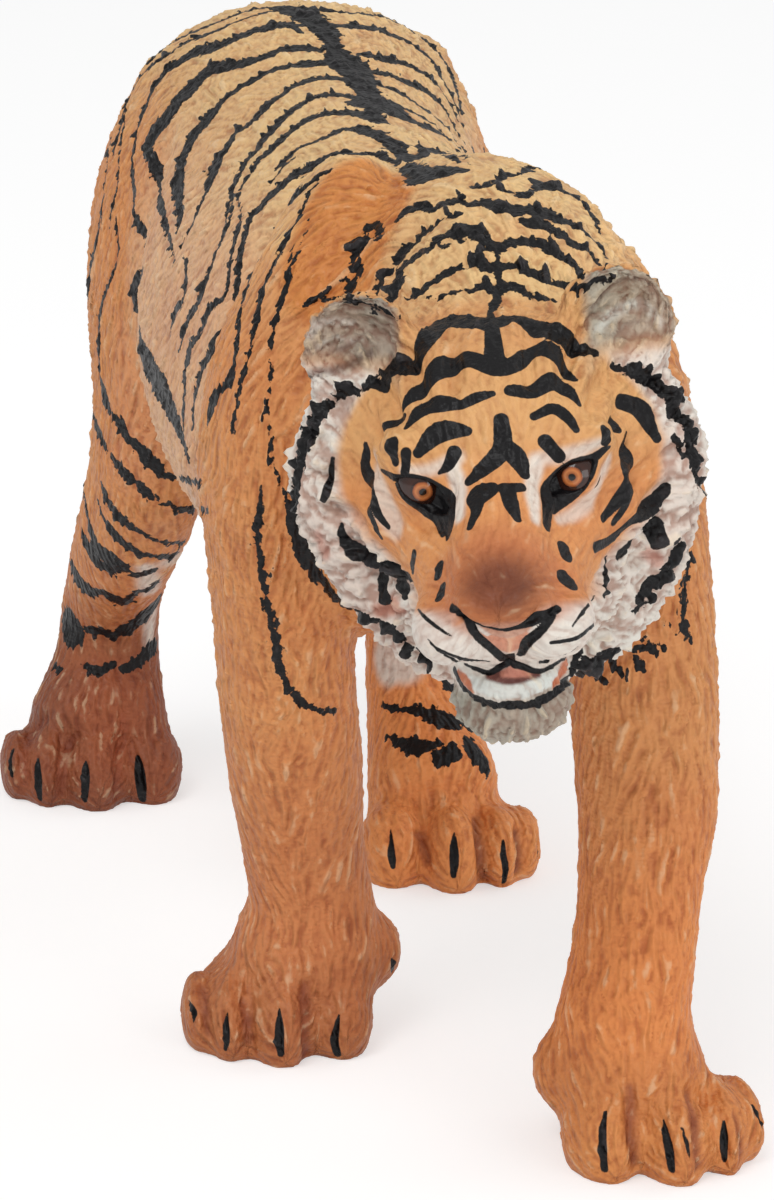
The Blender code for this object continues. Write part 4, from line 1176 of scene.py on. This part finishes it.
# Washes: a colour, how much of it is laid on, how soft its edge is in mm, and the line that it follows.
body_washes = [
    (colour(214, 138, 72), 0.95, 0.7, [
        (372, 176, 30), (362, 200, 46), (345, 250, 54), (325, 320, 40), (305, 390, 30),
    ]),
    (colour(220, 150, 100), 0.8, 1.2, [(120, 330, 14), (130, 400, 26), (130, 470, 24)]),
    (CREAM, 0.85, 0.5, [(146, 568, 10), (152, 600, 14), (150, 640, 10)]),
    (CREAM, 0.8, 0.6, [(170, 560, 10), (195, 555, 16), (205, 575, 14)]),
    (colour(222, 190, 166), 0.7, 0.8, [(190, 492, 14), (202, 520, 12), (196, 545, 8)]),
    (CREAM, 0.9, 0.5, [(395, 660, 22), (430, 668, 22), (465, 655, 16)]),
]
head_washes = [
    (ASH, 0.75, 0.2, [(112, 215, 10), (140, 180, 12), (200, 165, 12), (262, 172, 10)]),
    (ASH, 0.6, 0.12, [(150, 250, 5), (200, 215, 6), (262, 225, 5)]),
    (colour(70, 48, 44), 0.7, 0.25, [(128, 330, 10), (190, 320, 14), (262, 300, 16), (330, 262, 12)]),
    (colour(88, 70, 66), 0.6, 0.12, [(150, 285, 4), (215, 255, 5), (290, 215, 5)]),
    (colour(96, 62, 48), 0.7, 0.15, [(1020, 150, 5), (1060, 80, 6), (1130, 32, 6), (1210, 30, 5)]),
    (colour(214, 216, 208), 0.6, 0.2, [(1050, 190, 12), (1110, 130, 16), (1190, 110, 16), (1250, 170, 12)]),
    (colour(112, 100, 92), 0.6, 0.12, [(1090, 215, 5), (1150, 165, 5), (1215, 175, 4)]),
    (CREAM, 0.85, 0.25, [(585, 630, 22), (598, 700, 30), (606, 790, 18)]),
    (CREAM, 0.7, 0.3, [(420, 640, 12), (510, 640, 20), (600, 600, 22)]),
    (CREAM, 0.65, 0.35, [(322, 624, 34), (344, 720, 46), (400, 820, 34)]),
    (CREAM, 0.85, 0.25, [(850, 630, 28), (842, 710, 26), (850, 800, 14)]),
    (CREAM, 0.8, 0.3, [(850, 605, 20), (960, 590, 26), (1065, 555, 18)]),
    (CREAM, 0.75, 0.3, [(1082, 610, 18), (1050, 700, 26), (990, 770, 26), (925, 800, 16)]),
    (CREAM, 0.85, 0.3, [(500, 1130, 30), (600, 1210, 44), (680, 1230, 40)]),
    (CREAM, 0.85, 0.3, [(1010, 1120, 34), (940, 1170, 44), (860, 1220, 40)]),
    (colour(216, 150, 122), 0.95, 0.08, [(690, 1170, 10), (745, 1196, 26), (790, 1192, 24), (835, 1162, 12)]),
    (CREAM, 0.9, 0.08, [(640, 1148, 6), (695, 1168, 8)]),
    (CREAM, 0.9, 0.08, [(835, 1160, 7), (890, 1122, 7)]),
    (WHITE, 0.95, 0.12, [
        (640, 1320, 20), (700, 1338, 30), (780, 1345, 32), (860, 1330, 28), (925, 1290, 16),
    ]),
    (LIP, 0.95, 0.08, [(603, 1290, 10), (626, 1315, 16), (645, 1345, 10)]),
    (LIP, 0.95, 0.08, [(955, 1255, 10), (930, 1295, 16), (908, 1330, 10)]),
    (colour(90, 34, 32), 0.95, 0.1, [(698, 1300, 12), (770, 1302, 26), (862, 1292, 12)]),
    (colour(206, 138, 118), 0.95, 0.08, [(748, 1292, 12), (788, 1284, 20), (828, 1290, 12)]),
    (colour(196, 126, 100), 0.7, 0.2, [(350, 1090, 26), (410, 1075, 34)]),
    (colour(186, 108, 84), 0.6, 0.2, [(1205, 905, 20), (1240, 930, 26)]),
    (colour(176, 110, 92), 0.6, 0.2, [(150, 850, 14), (175, 910, 16)]),
]
body_washes = [(tint, share, soft, traced(rows, 1.3)) for tint, share, soft, rows in body_washes]
head_washes = [(tint, share, soft, traced(crop(rows), 1.3)) for tint, share, soft, rows in head_washes]
bpy.data.objects.remove(smooth_skin)


def painted_coat(cloud, facing):
    """Base colour of each point, mixed from the coat colours by height, side and place."""
    z = cloud[:, 2]
    left, high, ahead = apparent(cloud)
    head = on_head(cloud, -12.5, -9.5)
    wander = 0.5 + 0.5 * ripple(cloud / 5 + 3)
    coat = np.repeat(ORANGE[None], len(cloud), 0)

    def lay(tint, share):
        """Moves the coat towards a tint by a share."""
        nonlocal coat
        coat = coat + (tint - coat) * share[:, None]

    lay(FAWN, ramp(cloud[:, 1], -17, -10) * (1 - ramp(cloud[:, 1], 16, 22)) * ramp(z, 24, 30) * 0.9)
    # Sandier where the back faces up: partly the paint's own tone, partly painted light from above.
    lay(SAND_AND_TOP_LIGHT, ramp(facing[:, 2], 0.1, 0.8) * ramp(z, 44, 54) * (1 - head) * 0.95)
    # The left legs and paws are painted lighter than the right ones, the left hind leg lighter still: painted
    # light, where more light falls on them.
    lit_left_legs = ramp(cloud[:, 0], 1, 3) * (cloud[:, 1] < 44)
    shaded_right_hind = (1 - ramp(cloud[:, 0], 0, 2)) * ramp(cloud[:, 1], 16, 20)
    lay(RUST, (1 - ramp(z, 10, 28)) * 0.9)
    lay(LIT_AMBER, (1 - ramp(z, 10, 28)) * lit_left_legs)
    lay(TAN, (1 - ramp(z, 3, 9)) * 0.8)
    lay(LIT_OCHRE, (1 - ramp(z, 3, 9)) * lit_left_legs)
    # The lower right hind leg is painted darker: painted shade.
    lay(SHADE_UMBER, (1 - ramp(z, 8, 17)) * shaded_right_hind)
    lay(colour(246, 160, 94), (1 - ramp(z, 16, 26)) * lit_left_legs * ramp(cloud[:, 1], 8, 12) * 0.7)
    lay(CREAM, ramp(-facing[:, 2], 0.5, 0.9) * ramp(z, 21, 26) * ramp(cloud[:, 1], -14, -8) * (1 - head))
    for tint, share, soft, line in body_washes:
        lay(tint, share * ramp(paint_reach([line], cloud), -soft, soft))
    lay(colour(136, 74, 52), 0.8 * ramp(paint_reach(cleft_lines, cloud), -0.3, 0.25))
    lay(BROW, head * ramp(high, -0.5, 3.0))
    lay(CREAM, np.clip(in_ruff(cloud) * (0.9 + 0.3 * wander), 0, 1))
    whiskers = ramp(-high, 6.1, 6.8) * ramp(np.abs(left), 2.1, 2.7)
    lay(CREAM, np.maximum(whiskers, ramp(-high, 7.1, 7.4)) * head * ramp(ahead, -3, 0))
    nose = np.hypot((left - 0.1) / 3.0, (high + 5.3) / 2.5)
    lay(colour(190, 114, 72), head * ramp(ahead, 3, 5) * (1 - ramp(nose, 0.8, 1.9)) * 0.8)
    lay(colour(92, 48, 36), head * ramp(ahead, 3, 5) * (1 - ramp(nose, 0.3, 1.05)) * 0.88)
    lay(GREY, ramp(-in_head(cloud)[:, 2], 8.6, 9.6) * head * ramp(ahead, -1, 1))
    up = in_head(cloud)[:, 2]
    # The forward-facing hollows of the ears are grey, partly their own pale grey and partly painted shade
    # that deepens the hollow; the right ear's hollow is painted darker still, as painted shade.
    ear_hollow_shade = ramp(up, 3.6, 4.6) * ramp(np.abs(left), 4.8, 5.6) * ramp(facing @ AHEAD, -0.05, 0.3) * head
    lay(GREY, ear_hollow_shade * 0.9)
    lay(colour(120, 104, 96), ear_hollow_shade * 0.35 * (left < 0))
    for tint, share, soft, line in head_washes:
        lay(tint, share * ramp(paint_reach([line], cloud), -soft, soft))
    return coat


def tail_rings(cloud, apart=6.5, tip=5):
    """Reach of the black rings round the tail, where the cosine of its length, one turn for each gap
    between rings, is above a quarter, and of its black tip."""
    steps = np.linalg.norm(np.diff(tail_line, axis=0), axis=1)
    length = np.concatenate([[0], np.cumsum(steps)])
    reach = np.full(len(cloud), -2.0)
    close = np.flatnonzero((cloud[:, 1] > 44) & (cloud[:, 2] < 50))
    gap = np.linalg.norm(cloud[close, None] - tail_line[None, ::2], axis=2)
    run = length[::2][gap.argmin(1)] + 1.2 * ripple(cloud[close] / 2)
    reach[close] = np.where(run > length[-1] - tip, 1.0, np.cos(run * 2 * np.pi / apart) - 0.25)
    return reach


def node(tree, kind, *sources, **settings):
    """Adds a node with its settings, and gives its first output. Its inputs in turn take the sources,
    which are numbers, places, arrays for colours or outputs of other nodes."""
    added = tree.nodes.new("ShaderNode" + kind)
    for title, setting in settings.items():
        setattr(added, title, setting)
    for socket, source in zip([s for s in added.inputs if s.enabled], sources):
        if isinstance(source, bpy.types.NodeSocket):
            tree.links.new(source, socket)
        else:
            socket.default_value = (*source, 1) if isinstance(source, np.ndarray) else source
    return [s for s in added.outputs if s.enabled][0]


def material(name, settings):
    """New material with its node tree and its surface shader, on which the settings are made."""
    made = bpy.data.materials.new(name)
    made.use_nodes = True
    surface = made.node_tree.nodes["Principled BSDF"]
    for title, setting in settings.items():
        surface.inputs[title].default_value = setting
    return made, made.node_tree, surface


def painted_plastic():
    """Satin paint: the coat darkens in the valleys of the fur, partly the brown wash of the paint and partly
    painted shade, and lightens on the ridges, partly dry-brushed paint and partly painted highlight. Black
    paint goes where its reach, frayed by the locks and fine noise, is above zero, and is greyer on the
    ridges as painted highlight. The thinnest strands of the fur are a bump in the paint."""
    paint, tree, surface = material("painted_plastic", {"Specular IOR Level": 0.25})
    place = node(tree, "TexCoord").node.outputs["Object"]

    def attribute(name, output="Fac"):
        """What the skin notes at each point under a name."""
        return node(tree, "Attribute", attribute_name=name).node.outputs[output]

    def noise(scale, detail, spot=place):
        """Noise of so many cells to the metre, from 0 to 1."""
        return node(tree, "TexNoise", spot, scale, detail)

    def maths(operation, *sources):
        """One sum; MULTIPLY_ADD is the first times the second, plus the third."""
        return node(tree, "Math", *sources, operation=operation)

    def step(source, low, high, to_low=0.0, to_high=1.0):
        """Smooth step of the source from low to high, as to_low to to_high."""
        return node(tree, "MapRange", source, low, high, to_low, to_high, interpolation_type="SMOOTHSTEP")

    def mixed(share, a, b, kind="MIX"):
        """Colour a, moved towards colour b, or towards a times b, by a share."""
        return node(tree, "Mix", share, a, b, data_type="RGBA", blend_type=kind)

    def strands(scale, length, count):
        """Noise averaged at a row of places along the way the hair lies, from about -1 to 1."""
        along, total = attribute("lie", "Vector"), 0.0
        for k in np.linspace(-0.5, 0.5, count):
            offset = (k * length * MM,) * 3
            moved = node(tree, "VectorMath", along, offset, place, operation="MULTIPLY_ADD")
            total = maths("ADD", noise(scale, 0, moved), total)
        return maths("MULTIPLY_ADD", total, 9.0 / count, -4.5)

    locks_high, ink, fray = (attribute(name) for name in ("fur", "ink", "fray"))
    hair = maths("MULTIPLY", strands(2500, 1.3, 6), attribute("coat", "Alpha"))
    fur = maths("MULTIPLY_ADD", hair, 0.55, locks_high)
    coat = attribute("coat", "Color")
    patchy, speck, grain = noise(160, 3), noise(3200, 4), noise(1500, 2)
    coat = mixed(step(patchy, 0.35, 0.7, 0.0, 0.2), coat, colour(196, 104, 56))
    # Darker in the valleys of the fur: partly the brown wash of the paint, partly painted shade.
    coat = mixed(step(fur, 0.2, -1.6, 0.0, 0.6), coat, colour(166, 100, 66), "MULTIPLY")
    # Lighter on the ridges of the fur: partly dry-brushed paint, partly painted highlight.
    coat = mixed(step(fur, 0.4, 2.2, 0.0, 0.28), coat, colour(252, 226, 186))
    gaps = maths("MULTIPLY_ADD", grain, 0.6, maths("MULTIPLY_ADD", speck, 0.4, -0.5))
    frayed = maths("MULTIPLY_ADD", fur, 0.16, gaps)
    black = step(maths("MULTIPLY_ADD", frayed, fray, ink), -0.03, 0.03)
    # Black paint greyer on the ridges of the fur: painted highlight.
    black_with_ridge_highlight = mixed(step(fur, 0.8, 2.4, 0.0, 0.25), colour(13, 11, 13), colour(84, 78, 80))
    tree.links.new(mixed(black, coat, black_with_ridge_highlight), surface.inputs["Base Color"])
    rough = maths("ADD", speck, maths("MULTIPLY", black, -0.2))
    tree.links.new(step(rough, 0.0, 1.0, 0.38, 0.62), surface.inputs["Roughness"])
    bump = node(tree, "Bump").node
    bump.inputs["Strength"].default_value = 0.7
    bump.inputs["Distance"].default_value = 0.2 * MM
    height = maths("MULTIPLY_ADD", hair, 0.7, maths("MULTIPLY", speck, 0.5))
    tree.links.new(height, bump.inputs["Height"])
    tree.links.new(bump.outputs["Normal"], surface.inputs["Normal"])
    return paint


paint = painted_plastic()
LOWEST, HIGHEST = [np.array(corner) / MM + MIDDLE for corner in cad_box]


def finished(cloud, facing):
    """Places of the skin's points, moved out along its normals by the fur and in by the carving and the
    eye openings, and kept within the solid's own box; then what the paint reads at them."""
    lift, relief, lie, plush = fur_height(cloud, facing)
    lift += carved(cloud)
    opening = paint_reach(eye_openings, cloud)
    lift -= 0.6 * ramp(opening, -0.12, 0.12)
    done = np.clip(cloud + facing * lift[:, None], LOWEST, HIGHEST)
    clean = np.maximum(paint_reach(clean_lines, cloud), opening + 0.1)
    ragged = np.maximum(paint_reach(ragged_lines, cloud), tail_rings(cloud))
    ink, fray = np.maximum(clean, ragged), np.where(clean > ragged, 0.1, 1.0)
    coat = np.column_stack([painted_coat(cloud, facing), plush])
    return done, {"fur": relief, "ink": ink, "fray": fray, "coat": coat, "lie": lie}


def dressed(name, done, faces, shade, look):
    """Makes a piece of the skin, with the normals of the whole skin and its paint as attributes."""
    mesh = bpy.data.meshes.new(name)
    mesh.from_pydata(((done - MIDDLE) * MM).tolist(), [], faces.tolist())
    for title in ("fur", "ink", "fray"):
        mesh.attributes.new(title, "FLOAT", "POINT").data.foreach_set("value", look[title].astype(np.float32))
    coat, lie = look["coat"].astype(np.float32), look["lie"].astype(np.float32)
    mesh.attributes.new("coat", "FLOAT_COLOR", "POINT").data.foreach_set("color", coat.ravel())
    mesh.attributes.new("lie", "FLOAT_VECTOR", "POINT").data.foreach_set("vector", lie.ravel())
    mesh.materials.append(paint)
    mesh.shade_smooth()
    mesh.normals_split_custom_set_from_vertices(shade.tolist())
    piece = stood(name, mesh)
    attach(piece, "root")
    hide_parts("tiger")


done, look = finished(place, out)
shade = normals(done, squares)

# The pieces of the skin, cut along its squares so that no seam shows; the face is in the finest ones.
# The cuts are heights and places along the body where it narrows or a limb starts.
LEG_TOP, MID_BELLY, BEFORE_TAIL = 32, 4, 46
NECK_END, SHOULDERS_END, TRUNK_END, HAUNCHES_END = -20, -2, 16, 30
centres = place[squares].mean(1)
x, y, z = centres.T
head = on_head(centres, -12.6, -12.4) > 0.5
face = head & (in_head(centres)[:, 1] > -3)
leg = ~head & (z < LEG_TOP)
fore, hind = leg & (y < MID_BELLY), leg & (y >= MID_BELLY) & (y < BEFORE_TAIL)
regions = {
    "head": head & ~face,
    "right_foreleg": fore & (x < 2),
    "left_foreleg": fore & (x >= 2),
    "right_hind_leg": hind & (x < 1.2),
    "left_hind_leg": hind & (x >= 1.2),
    "neck": ~head & ~leg & (y < NECK_END),
    "shoulders": ~head & ~leg & (y >= NECK_END) & (y < SHOULDERS_END),
    "trunk": ~leg & (y >= SHOULDERS_END) & (y < TRUNK_END),
    "haunches": ~leg & (y >= TRUNK_END) & (y < HAUNCHES_END),
    "rump_and_tail": (~leg & (y >= HAUNCHES_END)) | (leg & (y >= BEFORE_TAIL)),
}
for name, chosen in regions.items():
    used, local = np.unique(squares[chosen], return_inverse=True)
    dressed(name, done[used], local.reshape(-1, 4), shade[used], {k: v[used] for k, v in look.items()})

used, local = np.unique(squares[face], return_inverse=True)
cloud, facing, small, rim = finer(place[used], out[used], local.reshape(-1, 4))
done, look = finished(cloud, facing)
done[rim[:, 0]] = (done[rim[:, 1]] + done[rim[:, 2]]) / 2
fine_shade = normals(done, small)
edge = np.unique(rim[:, 1:])
fine_shade[edge] = shade[used][edge]
fine_shade[rim[:, 0]] = unit(fine_shade[rim[:, 1]] + fine_shade[rim[:, 2]])
dressed("face", done, small, fine_shade, look)

# Eyes: the moulded eyeballs in their sockets, painted by hand with an amber iris round a black pupil,
# under a gloss coat. Rings of colour lie round the point of the ball that shows at the iris's middle.
EYE_BALL = 1.42
IRIS_REACH, BRUSH_WOBBLE = 1.6, 0.12
IRIS_RINGS = [
    (0.0, (14, 10, 10)),
    (0.15, (14, 10, 10)),
    (0.18, (150, 86, 46)),
    (0.28, (198, 122, 68)),
    (0.35, (166, 92, 50)),
    (0.41, (40, 22, 18)),
    (0.5, (62, 36, 28)),
    (1.0, (40, 24, 20)),
]
for name, q, iris in (("right_eye", -1, (489, 711, 0)), ("left_eye", 1, (966, 663, 0))):
    centre = at(q * 4.2, -1.3, -0.1)
    grid, ends = rounded(centre, (EYE_BALL, EYE_BALL, EYE_BALL), axis=CROWN, side=LEFT, ring=64)
    ball_points, ball_faces = closed(grid, ends)
    mesh = bpy.data.meshes.new(name)
    mesh.from_pydata(((ball_points - MIDDLE) * MM).tolist(), [], ball_faces)
    mesh.shade_smooth()
    look_way = sight(*crop([iris])[0][:2])
    look_way /= np.linalg.norm(look_way)
    offset = LENS_POINT - centre
    near = -(look_way @ offset) - np.sqrt(max((look_way @ offset) ** 2 - offset @ offset + EYE_BALL**2, 0))
    pupil = (LENS_POINT + look_way * near - MIDDLE) * MM
    gloss, tree, surface = material(name + "_paint", {"Roughness": 0.12})
    spot = node(tree, "TexCoord").node.outputs["Object"]
    gap = node(tree, "VectorMath", spot, tuple(pupil), operation="DISTANCE")
    brushed = node(tree, "TexNoise", spot, 2500)
    uneven = node(tree, "Math", brushed, BRUSH_WOBBLE * MM, gap, operation="MULTIPLY_ADD")
    rings = node(tree, "ValToRGB", node(tree, "MapRange", uneven, 0.0, IRIS_REACH * MM))
    stops = rings.node.color_ramp.elements
    while len(stops) < len(IRIS_RINGS):
        stops.new(0.5)
    for stop, (position, tint) in zip(stops, IRIS_RINGS):
        stop.position = position
        stop.color = (*colour(*tint), 1)
    tree.links.new(rings, surface.inputs["Base Color"])
    mesh.materials.append(gloss)
    eye = stood(name, mesh)
    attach(eye, "root")

# Floor: a pale table top, which keeps the soft shadow of the figurine. Part of its white is a glow that
# the camera and reflections see, and that lights nothing.
FLOOR_HALF, GLOW_SHARE, GLOW = 3, 0.4, 1.35
corners = [(x * FLOOR_HALF, y * FLOOR_HALF, 0) for x, y in ((-1, -1), (1, -1), (1, 1), (-1, 1))]
floor_mesh = bpy.data.meshes.new("floor")
floor_mesh.from_pydata(corners, [], [(0, 1, 2, 3)])
floor = stood("floor", floor_mesh)
plain = {"Base Color": (0.92, 0.92, 0.92, 1), "Roughness": 0.8, "Specular IOR Level": 0.0}
pale, tree, surface = material("pale_table", plain)
rays = node(tree, "LightPath").node.outputs
shown = rays["Is Camera Ray"]
for ray in ("Is Glossy Ray", "Is Transmission Ray"):
    shown = node(tree, "Math", shown, rays[ray], operation="MAXIMUM")
share = node(tree, "Math", shown, GLOW_SHARE, operation="MULTIPLY")
glow = node(tree, "Emission")
glow.node.inputs["Strength"].default_value = GLOW
both = node(tree, "MixShader", share, surface.outputs[0], glow)
tree.links.new(both, tree.nodes["Material Output"].inputs["Surface"])
floor_mesh.materials.append(pale)

# Light: a soft white room and three square lamps that face the figurine: the key above its right
# shoulder, a fill from its left, and a low one before it.
ROOM_LIGHT = 0.55
HALF_WAY_UP = Vector((0, 0, 0.03))
world = bpy.data.worlds.new("room")
world.use_nodes = True
world.node_tree.nodes["Background"].inputs["Color"].default_value = (1, 1, 1, 1)
world.node_tree.nodes["Background"].inputs["Strength"].default_value = ROOM_LIGHT
bpy.context.scene.world = world


def lamp(name, spot, size, power):
    """Square lamp at a spot in metres, turned to the middle of the figurine; power is in watts."""
    light = bpy.data.lights.new(name, "AREA")
    light.size = size
    light.energy = power
    holder = stood(name, light)
    holder.location = spot
    holder.rotation_euler = (HALF_WAY_UP - Vector(spot)).to_track_quat("-Z", "Y").to_euler()


lamp("key", spot=(-0.25, -0.35, 0.6), size=0.35, power=2.0)
lamp("fill", spot=(0.5, 0.1, 0.5), size=0.5, power=0.6)
lamp("low", spot=(0.3, -0.5, 0.12), size=0.3, power=0.7)

bpy.context.scene.view_settings.view_transform = "Standard"
